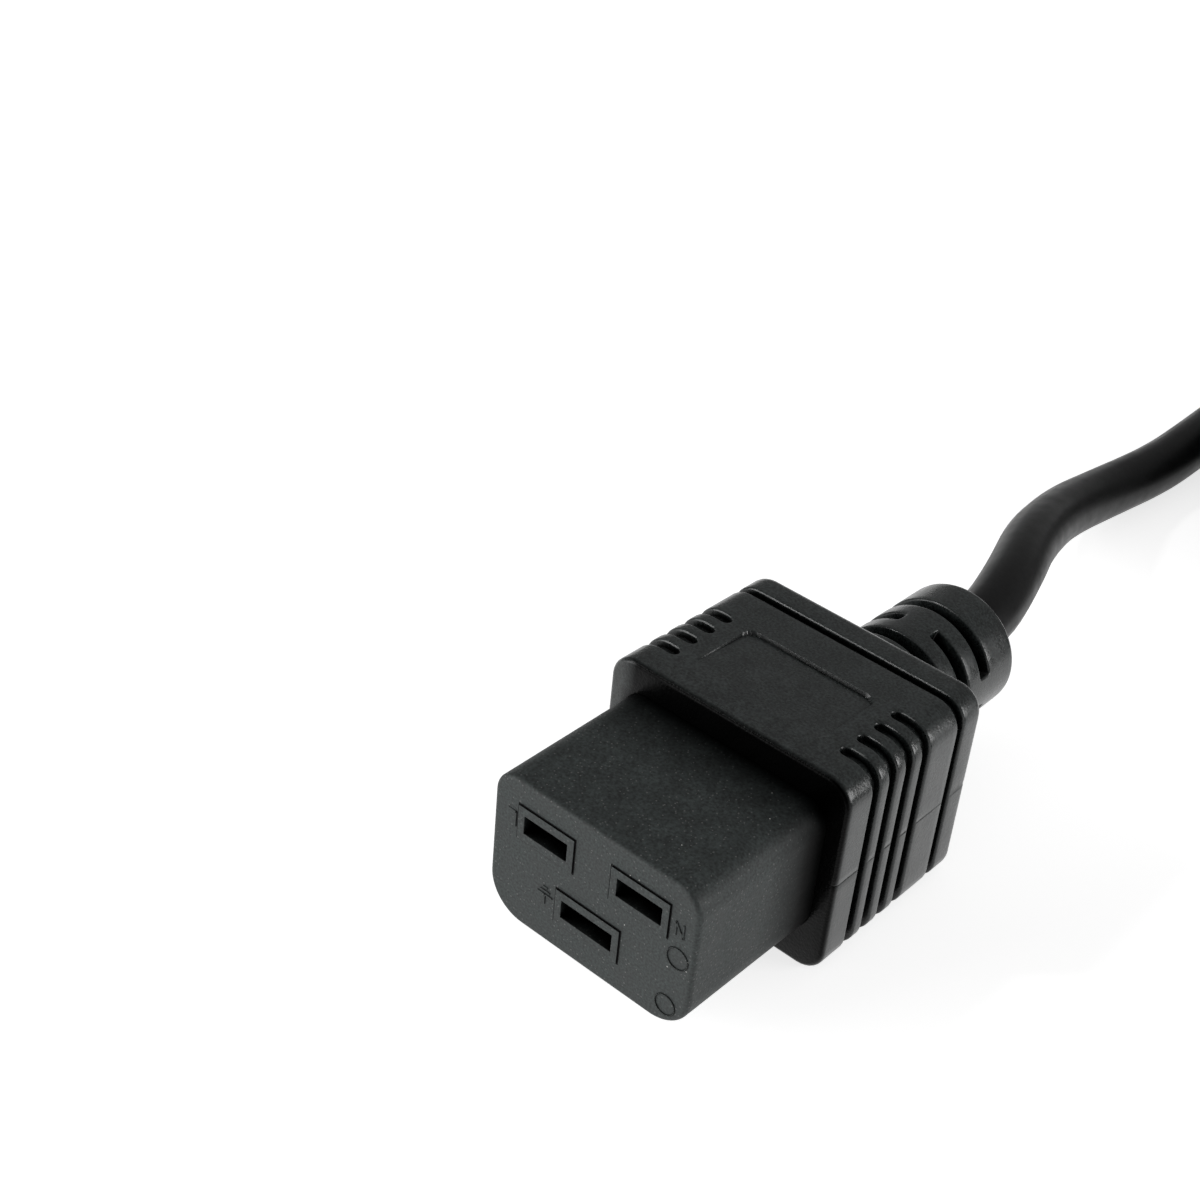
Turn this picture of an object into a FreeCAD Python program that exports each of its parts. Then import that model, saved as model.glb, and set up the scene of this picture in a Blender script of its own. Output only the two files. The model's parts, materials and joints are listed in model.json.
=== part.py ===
"""Power cord: a C19 connector, its cord at full length, coiled and tied, and the C20 plug on its far end.

Each connector is drawn in its own frame: the origin is on its axis at the front of its grip, the mating face
looks along -Y, the cord leaves along +Y and +Z is up. Placements then stand both on the plane z = 0.
Millimetres throughout.
"""
import FreeCAD, Part
import math
import os

import Sketcher

VECTOR = FreeCAD.Vector
TURN_TO_Y = FreeCAD.Rotation(VECTOR(1, 0, 0), -90)

doc = FreeCAD.newDocument("c19_power_cord")
nodes = []


# ---------------------------------------------------------------- driving dimensions

SIZES = [
    ("pole_pitch", 13.0, "centre distance of the line and neutral poles"),
    ("live_rise", 4.45, "line and neutral poles above the connector's axis"),
    ("earth_drop", 7.85, "earth pole below the line and neutral poles"),
    ("nose_width", 28.3, "contact block of the C19"),
    ("nose_height", 19.3, "contact block of the C19"),
    ("nose_length", 20.6, "from the grip's front to the mating face"),
    ("nose_upper_corner", 3.0, "corner radius away from the earth pole"),
    ("nose_lower_corner", 5.0, "corner radius beside the earth pole"),
    ("nose_bevel", 0.6, "edge of the mating face"),
    ("root_depth", 5.0, "contact block inside the grip"),
    ("rib_start", 1.4, "retaining rib behind the grip's front"),
    ("rib_length", 1.8, "retaining rib along the axis"),
    ("rib_height", 0.9, "retaining rib above the block"),
    ("front_wall", 1.4, "wall of the mating face"),
    ("frame_rise", 0.2, "raised frame around each slot"),
    ("frame_margin_x", 1.75, "frame width beyond its slot, both ends together"),
    ("frame_margin_z", 2.1, "frame height beyond its slot, both sides together"),
    ("slot_width", 6.1, "line and neutral slots"),
    ("earth_slot_width", 7.15, "earth slot"),
    ("slot_height", 2.35, "all three slots"),
    ("chamber_width", 9.0, "contact chamber behind each slot"),
    ("chamber_height", 4.4, "contact chamber behind each slot"),
    ("cover_thickness", 2.6, "plate that closes the chambers"),
    ("cover_inset", 0.8, "cover's edge inside the block's edge"),
    ("contact_wall", 0.8, "sheet of the female contacts"),
    ("contact_width", 8.2, "spring box of each female contact"),
    ("contact_height", 3.7, "spring box of each female contact"),
    ("contact_length", 12.0, "spring box of each female contact"),
    ("contact_setback", 0.3, "spring box behind the front wall"),
    ("neck_length", 3.4, "strip between spring box and crimp"),
    ("neck_width", 3.0, "strip between spring box and crimp"),
    ("crimp_length", 4.6, "barrel round the copper"),
    ("crimp_wall", 0.6, "barrel round the copper"),
    ("grip_front_width", 33.1, "C19 grip at the front"),
    ("grip_front_height", 26.6, "C19 grip at the front"),
    ("grip_rear_width", 32.6, "C19 grip at the rear"),
    ("grip_rear_height", 26.3, "C19 grip at the rear"),
    ("grip_length", 25.6, "C19 grip along the axis"),
    ("grip_corner", 3.2, "long edges of the C19 grip"),
    ("grip_front_round", 0.8, "front edge of the C19 grip"),
    ("grip_rear_round", 1.3, "rear edge of the C19 grip"),
    ("groove_depth", 0.9, "all grooves round the grips"),
    ("groove_width", 1.45, "finger grooves"),
    ("groove_pitch", 3.08, "finger grooves"),
    ("groove_count", 4, "finger grooves on each side"),
    ("grip_first_groove", 5.05, "centre of the first finger groove"),
    ("grip_groove_reach", 11.3, "finger grooves' ends from the middle plane"),
    ("ring_groove_width", 1.2, "grooves that run all the way round"),
    ("grip_ring_groove", 21.05, "centre of the C19's ring groove"),
    ("panel_width", 18.0, "bare sunk panel on the top face"),
    ("panel_start", 4.0, "where the panel leaves the surface"),
    ("panel_length", 10.9, "panel along the axis"),
    ("panel_depth", 0.45, "panel at its rear edge"),
    ("boot_root_radius", 8.4, "cord boot at the grip"),
    ("boot_end_radius", 8.1, "cord boot at its mouth"),
    ("boot_length", 22.4, "cord boot along the axis"),
    ("boot_round", 0.9, "outer edge of the boot's mouth"),
    ("boot_slot_width", 1.8, "flexing slots along the axis"),
    ("boot_slot_pitch", 4.43, "from one row of flexing slots to the next"),
    ("boot_slot_rows", 4, "rows of flexing slots"),
    ("boot_slot_start", 2.4, "centre of the first row behind the grip"),
    ("boot_slot_sweep", 148.0, "angle that each flexing slot covers"),
    ("boot_sleeve", 1.3, "wall left under the flexing slots"),
    ("cord_diameter", 7.8, "round three-core cord"),
    ("cord_grip", 6.0, "cord's length inside each boot's mouth"),
    ("sheath_wall", 0.8, "outer jacket of the stripped cord end"),
    ("core_diameter", 2.8, "insulated core"),
    ("copper_diameter", 1.6, "stranded copper"),
    ("core_lay_radius", 1.62, "cores' distance from the cord's axis"),
    ("connector_bend", 11.0, "where the C19's cores leave their poles' line"),
    ("plug_bend", 16.4, "where the C20's cores leave their poles' line"),
    ("core_run", 7.3, "along the axis from there to where they lie together"),
    ("core_reach", 3.0, "from a core's corner to its bend's end"),
    ("plug_front_width", 33.8, "C20 plug at its shroud"),
    ("plug_front_height", 25.4, "C20 plug at its shroud"),
    ("plug_rear_width", 32.4, "C20 grip at the rear"),
    ("plug_rear_height", 24.8, "C20 grip at the rear"),
    ("plug_length", 28.0, "C20 grip along the axis"),
    ("plug_corner", 4.0, "long edges of the C20"),
    ("plug_rear_round", 1.3, "rear edge of the C20 grip"),
    ("plug_first_groove", 6.2, "centre of the C20's first finger groove"),
    ("plug_groove_reach", 11.0, "C20's finger grooves' ends from the middle"),
    ("plug_ring_groove", 23.4, "centre of the C20's rear ring groove"),
    ("plug_ring_spacing", 3.0, "from the rear ring groove to the one ahead"),
    ("shroud_length", 21.0, "C20 shroud ahead of the grip"),
    ("shroud_wall", 2.4, "C20 shroud"),
    ("shroud_inner_corner", 2.4, "cavity of the C20 shroud"),
    ("shroud_floor", 3.0, "wall that carries the pins"),
    ("shroud_lip", 0.6, "rounded edge of the shroud"),
    ("joint_groove", 0.6, "step where shroud and grip meet, each side"),
    ("carrier_width", 25.0, "pin carrier inside the C20 grip"),
    ("carrier_height", 17.0, "pin carrier inside the C20 grip"),
    ("carrier_corner", 2.0, "pin carrier inside the C20 grip"),
    ("carrier_depth", 4.0, "pin carrier inside the C20 grip"),
    ("pin_thickness", 2.0, "all three pins"),
    ("pin_width", 6.0, "line and neutral pins"),
    ("earth_pin_width", 7.0, "earth pin"),
    ("pin_reach", 14.5, "line and neutral pins ahead of the pin wall"),
    ("earth_pin_lead", 2.0, "earth pin beyond the other two"),
    ("pin_bevel", 0.9, "bevel at each pin's tip"),
    ("pin_shank", 1.0, "pin behind its carrier"),
    ("coil_lanes", 3, "turns side by side in the coil"),
    ("coil_layers", 2, "turns on top of each other"),
    ("coil_radius", 46.6, "middle of the turns"),
    ("coil_stub", 31.0, "cord's straight way into the bundle"),
    ("tie_width", 4.8, "cable tie round the bundle"),
    ("tie_wall", 1.2, "cable tie round the bundle"),
    ("tie_proud", 0.7, "tie's surface above the bundle"),
    ("tie_head", 6.5, "block that locks the tie"),
    ("tie_head_rise", 4.5, "block that locks the tie, away from the bundle"),
]

sheet = doc.addObject("Spreadsheet::Sheet", "sizes")
for row, (alias, value, meaning) in enumerate(SIZES, 1):
    sheet.set("A%d" % row, alias)
    sheet.set("B%d" % row, str(value))
    sheet.set("C%d" % row, meaning)
    sheet.setAlias("B%d" % row, alias)
doc.recompute()


def number(expression):
    """The value of an expression on the sheet's cells."""
    return float(sheet.evalExpression(expression))


# Where the three poles stand: name, X and Z from the axis, slot width and pin width.
POLES = [
    ("line", "-sizes.pole_pitch / 2", "sizes.live_rise", "sizes.slot_width"),
    ("neutral", "sizes.pole_pitch / 2", "sizes.live_rise", "sizes.slot_width"),
    ("earth", "0", "sizes.live_rise - sizes.earth_drop", "sizes.earth_slot_width"),
]

# Directions from the cord's axis in which the line, neutral and earth cores lie inside it, from the top.
CORE_ANGLES = (-60, 60, 180)

# Cord routes on the plane the cord lies on, outside the coil. The first point of the lead and the last of the
# tail are inside the boots; the others lie where a hand has laid the cord.
LEAD_ROUTE = [
    (0.0, 28.4, 13.3),
    (0.0, 39.5, 13.3),
    (-2.8, 51.3, 13.2),
    (-8.0, 65.0, 11.2),
    (-11.6, 79.5, 7.8),
    (-12.6, 94.0, 4.8),
    (-11.4, 108.0, 3.9),
    (-11.4, 119.0, 3.9),
]
TAIL_ROUTE = [
    (97.4, 119.0, 11.7),
    (97.4, 107.2, 11.7),
    (95.2, 93.4, 12.2),
    (93.8, 79.6, 12.7),
    (93.8, 68.4, 12.7),
]

SHOULDER = "(sizes.nose_length + sizes.frame_rise - sizes.grip_length - sizes.boot_length) / 2"
CONNECTOR_PLACE = ("0", SHOULDER, "sizes.grip_front_height / 2")
PLUG_PLACE = (
    str(TAIL_ROUTE[-1][0]),
    "%s + sizes.cord_grip - sizes.boot_length - sizes.plug_length" % TAIL_ROUTE[-1][1],
    "sizes.plug_front_height / 2",
)
LANE_SPAN = "(sizes.coil_lanes * sizes.cord_diameter)"
LAYER_SPAN = "(sizes.coil_layers * sizes.cord_diameter)"
OUTER_LANE = "(sizes.coil_radius + (sizes.coil_lanes - 1) * sizes.cord_diameter / 2)"
COIL_PLACE = (
    "%s + %s" % (LEAD_ROUTE[-1][0], OUTER_LANE),
    "%s + sizes.coil_stub" % LEAD_ROUTE[-1][1],
    "0",
)


# ---------------------------------------------------------------- building blocks

def place(solid, where):
    """Bind an object's position to three expressions."""
    for axis, value in zip("xyz", where):
        solid.setExpression("Placement.Base." + axis, value)


def block(name, low, span):
    """A box from its low corner, with its spans along X, Y and Z."""
    solid = doc.addObject("Part::Box", name)
    for side, value in zip(("Length", "Width", "Height"), span):
        solid.setExpression(side, value)
    place(solid, low)
    return solid


def rod(name, start, radius, length):
    """A cylinder that runs along +Y from its start."""
    solid = doc.addObject("Part::Cylinder", name)
    solid.Placement = FreeCAD.Placement(VECTOR(0, 0, 0), TURN_TO_Y)
    solid.setExpression("Radius", radius)
    solid.setExpression("Height", length)
    place(solid, start)
    return solid


def cut(name, base, tool):
    solid = doc.addObject("Part::Cut", name)
    solid.Base = base
    solid.Tool = tool
    return solid


def fuse(name, solids):
    solid = doc.addObject("Part::MultiFuse", name)
    solid.Shapes = solids
    return solid


def keep(label, solid, where):
    """Make an object a sub-part: its label names its file."""
    place(solid, where)
    solid.Label = label
    nodes.append(solid)
    return solid


def new_body(name):
    return doc.addObject("PartDesign::Body", name)


def sketch_on(body, name, role, offset):
    """A sketch on one of the body's own origin planes, moved by an offset in the plane's own axes."""
    sketch = body.newObject("Sketcher::SketchObject", name)
    plane = next(feature for feature in body.Origin.OriginFeatures if feature.Role == role)
    sketch.AttachmentSupport = [(plane, "")]
    sketch.MapMode = "FlatFace"
    for axis, value in zip("xyz", offset):
        sketch.setExpression("AttachmentOffset.Base." + axis, value)
    return sketch


def constrain(sketch, name, expression, *definition):
    """Add a measured constraint and bind it to an expression."""
    index = sketch.addConstraint(Sketcher.Constraint(*definition, number(expression)))
    sketch.renameConstraint(index, name)
    sketch.setExpression("Constraints." + name, expression)


def centre_sides(sketch, width, height, left, right, lower, upper):
    """Hold four side lines at half a width and half a height from the sketch's origin."""
    constrain(sketch, "half_left", width + " / 2", "DistanceX", left, 1, -1, 1)
    constrain(sketch, "half_right", width + " / 2", "DistanceX", -1, 1, right, 1)
    constrain(sketch, "half_lower", height + " / 2", "DistanceY", lower, 1, -1, 1)
    constrain(sketch, "half_upper", height + " / 2", "DistanceY", -1, 1, upper, 1)


def rectangle(sketch, width, height):
    """A rectangle centred on the sketch's origin."""
    across = number(width) / 2
    up = number(height) / 2
    corners = [VECTOR(-across, up, 0), VECTOR(across, up, 0), VECTOR(across, -up, 0), VECTOR(-across, -up, 0)]
    for index in range(4):
        sketch.addGeometry(Part.LineSegment(corners[index], corners[(index + 1) % 4]), False)
    for index in range(4):
        sketch.addConstraint(Sketcher.Constraint("Coincident", index, 2, (index + 1) % 4, 1))
    for index in (0, 2):
        sketch.addConstraint(Sketcher.Constraint("Horizontal", index))
        sketch.addConstraint(Sketcher.Constraint("Vertical", index + 1))
    centre_sides(sketch, width, height, left=3, right=1, lower=2, upper=0)


def rounded_rectangle(sketch, width, height, upper_corner, lower_corner):
    """A rectangle round the sketch's origin, with a radius for its upper corners and one for its lower."""
    across = number(width) / 2
    up = number(height) / 2
    top = number(upper_corner)
    bottom = number(lower_corner)
    sides = [
        (VECTOR(-across + top, up, 0), VECTOR(across - top, up, 0)),
        (VECTOR(across, up - top, 0), VECTOR(across, -up + bottom, 0)),
        (VECTOR(across - bottom, -up, 0), VECTOR(-across + bottom, -up, 0)),
        (VECTOR(-across, -up + bottom, 0), VECTOR(-across, up - top, 0)),
    ]
    for start, end in sides:
        sketch.addGeometry(Part.LineSegment(start, end), False)
    corners = [
        (VECTOR(across - top, up - top, 0), top, 0),
        (VECTOR(across - bottom, -up + bottom, 0), bottom, 270),
        (VECTOR(-across + bottom, -up + bottom, 0), bottom, 180),
        (VECTOR(-across + top, up - top, 0), top, 90),
    ]
    for centre, radius, start in corners:
        circle = Part.Circle(centre, VECTOR(0, 0, 1), radius)
        arc = Part.ArcOfCircle(circle, math.radians(start), math.radians(start + 90))
        sketch.addGeometry(arc, False)
    for line in range(4):
        next_line = (line + 1) % 4
        sketch.addConstraint(Sketcher.Constraint("Tangent", line, 2, 4 + line, 2))
        sketch.addConstraint(Sketcher.Constraint("Tangent", next_line, 1, 4 + line, 1))
    for line in (0, 2):
        sketch.addConstraint(Sketcher.Constraint("Horizontal", line))
        sketch.addConstraint(Sketcher.Constraint("Vertical", line + 1))
    sketch.addConstraint(Sketcher.Constraint("Equal", 4, 7))
    sketch.addConstraint(Sketcher.Constraint("Equal", 5, 6))
    constrain(sketch, "upper_corner", upper_corner, "Radius", 4)
    constrain(sketch, "lower_corner", lower_corner, "Radius", 5)
    centre_sides(sketch, width, height, left=3, right=1, lower=2, upper=0)


def circle(sketch, radius):
    """A circle on the sketch's origin."""
    sketch.addGeometry(Part.Circle(VECTOR(0, 0, 0), VECTOR(0, 0, 1), number(radius)), False)
    sketch.addConstraint(Sketcher.Constraint("Coincident", 0, 3, -1, 1))
    constrain(sketch, "radius", radius, "Radius", 0)


def pad(body, name, sketch, length, backwards):
    """Add a sketch's area along the axis: backwards is +Y, towards the cord."""
    feature = body.newObject("PartDesign::Pad", name)
    feature.Profile = sketch
    feature.setExpression("Length", length)
    feature.Reversed = backwards
    return feature


def pocket(body, name, sketch, depth, backwards):
    """Take a sketch's area away along the axis: backwards is +Y, towards the cord."""
    feature = body.newObject("PartDesign::Pocket", name)
    feature.Profile = sketch
    feature.setExpression("Length", depth)
    feature.Reversed = not backwards
    return feature


def loft(body, name, first, last):
    feature = body.newObject("PartDesign::AdditiveLoft", name)
    feature.Profile = first
    feature.Sections = [last]
    return feature


def edges_at(feature, station):
    """Names of a feature's edges that lie whole in the plane y = station."""
    tolerance = 1e-4
    names = []
    for index, edge in enumerate(feature.Shape.Edges, 1):
        bounds = edge.BoundBox
        if abs(bounds.YMin - station) < tolerance and abs(bounds.YMax - station) < tolerance:
            names.append("Edge%d" % index)
    return names


def long_edges(feature):
    """Names of a feature's edges that run along the axis."""
    shortest = 1.0
    lengths = [edge.BoundBox.YLength for edge in feature.Shape.Edges]
    return ["Edge%d" % index for index, length in enumerate(lengths, 1) if length > shortest]


def fillet(body, name, feature, edges, radius):
    rounded = body.newObject("PartDesign::Fillet", name)
    rounded.Base = (feature, edges)
    rounded.setExpression("Radius", radius)
    doc.recompute()
    return rounded


def round_edges(body, name, feature, station, radius):
    """Round the edges of a feature that lie in one plane across the axis."""
    doc.recompute()
    return fillet(body, name, feature, edges_at(feature, number(station)), radius)


def tapered_block(body, name, prefix, inset):
    """A grip's outer form, or one that lies an inset inside it: flat underneath, narrower at the rear."""
    values = {key: "sizes.%s_%s" % (prefix, key) for key in (
        "front_width", "front_height", "rear_width", "rear_height", "length", "corner")}
    wedge = body.newObject("PartDesign::AdditiveWedge", name + "_taper")
    sides = {
        "Xmin": "-({front_width} / 2 - {inset})",
        "Xmax": "{front_width} / 2 - {inset}",
        "Ymin": "0",
        "Ymax": "{length}",
        "Zmin": "{inset} - {front_height} / 2",
        "Zmax": "{front_height} / 2 - {inset}",
        "X2min": "-({rear_width} / 2 - {inset})",
        "X2max": "{rear_width} / 2 - {inset}",
        "Z2min": "{inset} - {front_height} / 2",
        "Z2max": "{rear_height} - {front_height} / 2 - {inset}",
    }
    for side, expression in sides.items():
        wedge.setExpression(side, expression.format(inset=inset, **values))
    doc.recompute()
    return fillet(body, name + "_corners", wedge, long_edges(wedge), values["corner"])


def section_sketch(body, name, station, size, rise="0"):
    """A rounded rectangle across the axis at a station; size is width, height, upper and lower corner."""
    sketch = sketch_on(body, name, "XZ_Plane", ("0", rise, "-(%s)" % station))
    rounded_rectangle(sketch, *size)
    return sketch


# ---------------------------------------------------------------- routes and tubes

def rounded_path(points, longest_reach=math.inf):
    """Straight runs joined by arcs as large as the runs and the longest reach allow, and the arcs' radii."""
    corners = [VECTOR(*point) for point in points]
    edges = []
    radii = []
    start = corners[0]
    for before, corner, after in zip(corners, corners[1:], corners[2:]):
        arriving = (corner - before).normalize()
        leaving = (after - corner).normalize()
        half_turn = arriving.getAngle(leaving) / 2
        reach = min(0.45 * min((corner - before).Length, (after - corner).Length), longest_reach)
        radius = reach / math.tan(half_turn)
        inward = (leaving - arriving).normalize()
        middle = corner + inward * (radius / math.cos(half_turn) - radius)
        bend_start = corner - arriving * reach
        bend_end = corner + leaving * reach
        edges.append(Part.LineSegment(start, bend_start).toShape())
        edges.append(Part.Arc(bend_start, middle, bend_end).toShape())
        radii.append(radius)
        start = bend_end
    edges.append(Part.LineSegment(start, corners[-1]).toShape())
    return Part.Wire(edges), radii


def swept(path, points, diameter):
    """A round solid along a path that starts at the first of its points."""
    heading = VECTOR(*points[1]) - VECTOR(*points[0])
    profile = Part.Face(Part.Wire(Part.Circle(VECTOR(*points[0]), heading, diameter / 2).toShape()))
    return path.makePipe(profile)


def cord_tube(label, points):
    """A stretch of the cord that lies free, as a plain round solid."""
    diameter = number("sizes.cord_diameter")
    path, radii = rounded_path(points)
    tube = doc.addObject("Part::Feature", label)
    tube.Shape = swept(path, points, diameter)
    tube.Placement = FreeCAD.Placement()
    nodes.append(tube)
    expected = math.pi * diameter ** 2 / 4 * path.Length
    print(label, "length %.1f" % path.Length, "radii", " ".join("%.0f" % radius for radius in radii),
          "volume over section times length %.5f" % (tube.Shape.Volume / expected))
    if abs(tube.Shape.Volume / expected - 1) > 0.001:
        raise ValueError(label + " isn't a plain tube")


# ---------------------------------------------------------------- grips with their boots

def finger_grooves(name, reach, first_groove, outer_width, outer_height):
    """Upright cutters for the finger grooves of each side, with rounded ends on the wide faces."""
    cutters = []
    span = "(%s / 2 + sizes.groove_width)" % outer_width
    tall = "(%s + 2 * sizes.groove_width)" % outer_height
    for count in range(int(number("sizes.groove_count"))):
        centre = "(%s + %d * sizes.groove_pitch)" % (first_groove, count)
        for side, sign in (("left", "-"), ("right", "")):
            stem = "%s_%s_%d" % (name, side, count + 1)
            inner_end = "(%s + sizes.groove_width / 2)" % reach
            low_x = inner_end if side == "right" else "-" + span
            straight = block(
                stem, (low_x, "%s - sizes.groove_width / 2" % centre, "-%s / 2" % tall),
                ("%s - %s" % (span, inner_end), "sizes.groove_width", tall))
            rounded_end = doc.addObject("Part::Cylinder", stem + "_end")
            rounded_end.setExpression("Radius", "sizes.groove_width / 2")
            rounded_end.setExpression("Height", tall)
            place(rounded_end, (sign + inner_end, centre, "-%s / 2" % tall))
            cutters += [straight, rounded_end]
    return cutters


def ring_slab(name, centre, outer_width, outer_height):
    """A plate across the axis that cuts one groove all the way round."""
    return block(
        name,
        ("-%s" % outer_width, "%s - sizes.ring_groove_width / 2" % centre, "-%s" % outer_height),
        ("2 * %s" % outer_width, "sizes.ring_groove_width", "2 * %s" % outer_height))


def boot_cutters(name, grip_length):
    """Rows of flexing slots: two slots face each other, and each row is turned a quarter from the last."""
    cutters = []
    for row in range(int(number("sizes.boot_slot_rows"))):
        centre = "%s + sizes.boot_slot_start + %d * sizes.boot_slot_pitch" % (grip_length, row)
        for side in range(2):
            sector = doc.addObject("Part::Cylinder", "%s_%d_%d" % (name, row + 1, side + 1))
            middle = 90 * (row % 2) + 180 * side
            start = middle - number("sizes.boot_slot_sweep") / 2
            around = FreeCAD.Rotation(VECTOR(0, 1, 0), start)
            sector.Placement = FreeCAD.Placement(VECTOR(0, 0, 0), around.multiply(TURN_TO_Y))
            sector.setExpression("Radius", "sizes.boot_root_radius + sizes.boot_slot_width")
            sector.setExpression("Height", "sizes.boot_slot_width")
            sector.setExpression("Angle", "sizes.boot_slot_sweep")
            place(sector, ("0", "%s - sizes.boot_slot_width / 2" % centre, "0"))
            cutters.append(sector)
    return cutters


def grip_shape(name, prefix, ring_grooves, open_front):
    """A grip with its boot, before the space for what it is moulded round is taken out.

    An open front has a rounded edge and stands over a narrower block, and its top face has a sunk panel.
    """
    width = "sizes.%s_front_width" % prefix
    height = "sizes.%s_front_height" % prefix
    rear_height = "sizes.%s_rear_height" % prefix
    length = "sizes.%s_length" % prefix

    body = new_body(name)
    shell = tapered_block(body, name, prefix, "0")
    if open_front:
        shell = round_edges(body, name + "_front_edge", shell, "0", "sizes.%s_front_round" % prefix)
    shell = round_edges(body, name + "_rear_edge", shell, length, "sizes.%s_rear_round" % prefix)
    root_place = ("0", "0", "-(%s - sizes.root_depth)" % length)
    boot_root = sketch_on(body, name + "_boot_root", "XZ_Plane", root_place)
    circle(boot_root, "sizes.boot_root_radius")
    mouth_place = ("0", "0", "-(%s + sizes.boot_length)" % length)
    boot_mouth = sketch_on(body, name + "_boot_mouth", "XZ_Plane", mouth_place)
    circle(boot_mouth, "sizes.boot_end_radius")
    boot = loft(body, name + "_boot", boot_root, boot_mouth)
    boot = round_edges(body, name + "_mouth_edge", boot, length + " + sizes.boot_length", "sizes.boot_round")
    if open_front:
        sink = sketch_on(body, name + "_panel_side", "YZ_Plane", ("0", "0", "0"))
        panel_profile(sink, height, rear_height, length)
        recess = body.newObject("PartDesign::Pocket", name + "_panel")
        recess.Profile = sink
        recess.Midplane = True
        recess.setExpression("Length", "sizes.panel_width")
    doc.recompute()

    inner = new_body(name + "_groove_floor")
    tapered_block(inner, name + "_floor", prefix, "sizes.groove_depth")
    reach = "sizes.%s_groove_reach" % prefix
    cutters = finger_grooves(name + "_groove", reach, "sizes.%s_first_groove" % prefix, width, height)
    for count, centre in enumerate(ring_grooves, 1):
        cutters.append(ring_slab("%s_ring_%d" % (name, count), centre, width, height))
    grooves = cut(name + "_grooves", fuse(name + "_groove_cutters", cutters), inner)

    sleeve_radius = "sizes.cord_diameter / 2 + sizes.boot_sleeve"
    sleeve = rod(name + "_sleeve", ("0", length, "0"), sleeve_radius, "sizes.boot_length")
    slots = cut(name + "_slots", fuse(name + "_slot_cutters", boot_cutters(name + "_slot", length)), sleeve)
    return cut(name + "_slotted", cut(name + "_grooved", body, grooves), slots)


def panel_profile(sketch, front_height, rear_height, length):
    """Side view of the sunk panel: a thin wedge whose rear end is cut square."""
    slope = "((%s - %s) / %s)" % (front_height, rear_height, length)
    start_y = "sizes.panel_start"
    end_y = "(sizes.panel_start + sizes.panel_length)"
    start_z = "(%s / 2 - %s * %s)" % (front_height, slope, start_y)
    end_z = "(%s / 2 - %s * %s - sizes.panel_depth)" % (front_height, slope, end_y)
    above_z = "(%s / 2 + sizes.panel_depth)" % front_height
    corners = [(start_y, start_z), (end_y, end_z), (end_y, above_z), (start_y, above_z)]
    values = [VECTOR(number(along), number(up), 0) for along, up in corners]
    for index in range(4):
        sketch.addGeometry(Part.LineSegment(values[index], values[(index + 1) % 4]), False)
    for index in range(4):
        sketch.addConstraint(Sketcher.Constraint("Coincident", index, 2, (index + 1) % 4, 1))
    for index, (along, up) in enumerate(corners):
        constrain(sketch, "along_%d" % index, along, "DistanceX", -1, 1, index, 1)
        constrain(sketch, "up_%d" % index, up, "DistanceY", -1, 1, index, 1)


# ---------------------------------------------------------------- cores, jacket and copper

def core_points(x, z, lay_angle, start, bend, end):
    """One core's way from its pole to its place in the cord."""
    gather = bend + number("sizes.core_run")
    lay = number("sizes.core_lay_radius")
    lay_x = lay * math.sin(math.radians(lay_angle))
    lay_z = lay * math.cos(math.radians(lay_angle))
    return [(x, start, z), (x, bend, z), (lay_x, gather, lay_z), (lay_x, end, lay_z)]


def static(name, shape):
    """An object whose shape is worked out from the sheet's values here."""
    solid = doc.addObject("Part::Feature", name)
    solid.Shape = shape
    solid.Placement = FreeCAD.Placement()
    return solid


def cord_end(prefix, poles, copper_start, core_start, bend, mouth, where):
    """Copper, insulation and jacket inside a connector; returns the solids its grip is moulded round."""
    core = number("sizes.core_diameter")
    copper = number("sizes.copper_diameter")
    cord = number("sizes.cord_diameter")
    wall = number("sizes.sheath_wall")
    reach = number("sizes.core_reach")
    strip = bend + number("sizes.core_run") + reach
    end = mouth - number("sizes.cord_grip")
    moulded_round = []
    for pole, x, z, lay_angle in poles:
        wire_points = core_points(x, z, lay_angle, copper_start, bend, end)
        jacket_points = core_points(x, z, lay_angle, core_start, bend, end)
        wire_path = rounded_path(wire_points, reach)[0]
        jacket_path = rounded_path(jacket_points, reach)[0]
        wire = swept(wire_path, wire_points, copper)
        jacket = swept(jacket_path, jacket_points, core)
        keep(prefix + "conductor_" + pole, static(prefix + "conductor_" + pole, wire), where)
        insulation = static(prefix + "core_" + pole, jacket.cut(wire))
        keep(prefix + "core_" + pole, insulation, where)
        moulded_round.append(static(prefix + "core_way_" + pole, jacket.fuse(wire)))
    along = VECTOR(0, 1, 0)
    start = VECTOR(0, strip, 0)
    outer = Part.makeCylinder(cord / 2, end - strip, start, along)
    bore = Part.makeCylinder(cord / 2 - wall, end - strip, start, along)
    keep(prefix + "sheath_end", static(prefix + "sheath_end", outer.cut(bore)), where)
    way_out = Part.makeCylinder(cord / 2, mouth - strip, start, along)
    moulded_round.append(static(prefix + "sheath_way", way_out))
    return moulded_round


# ---------------------------------------------------------------- C19 connector

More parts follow.
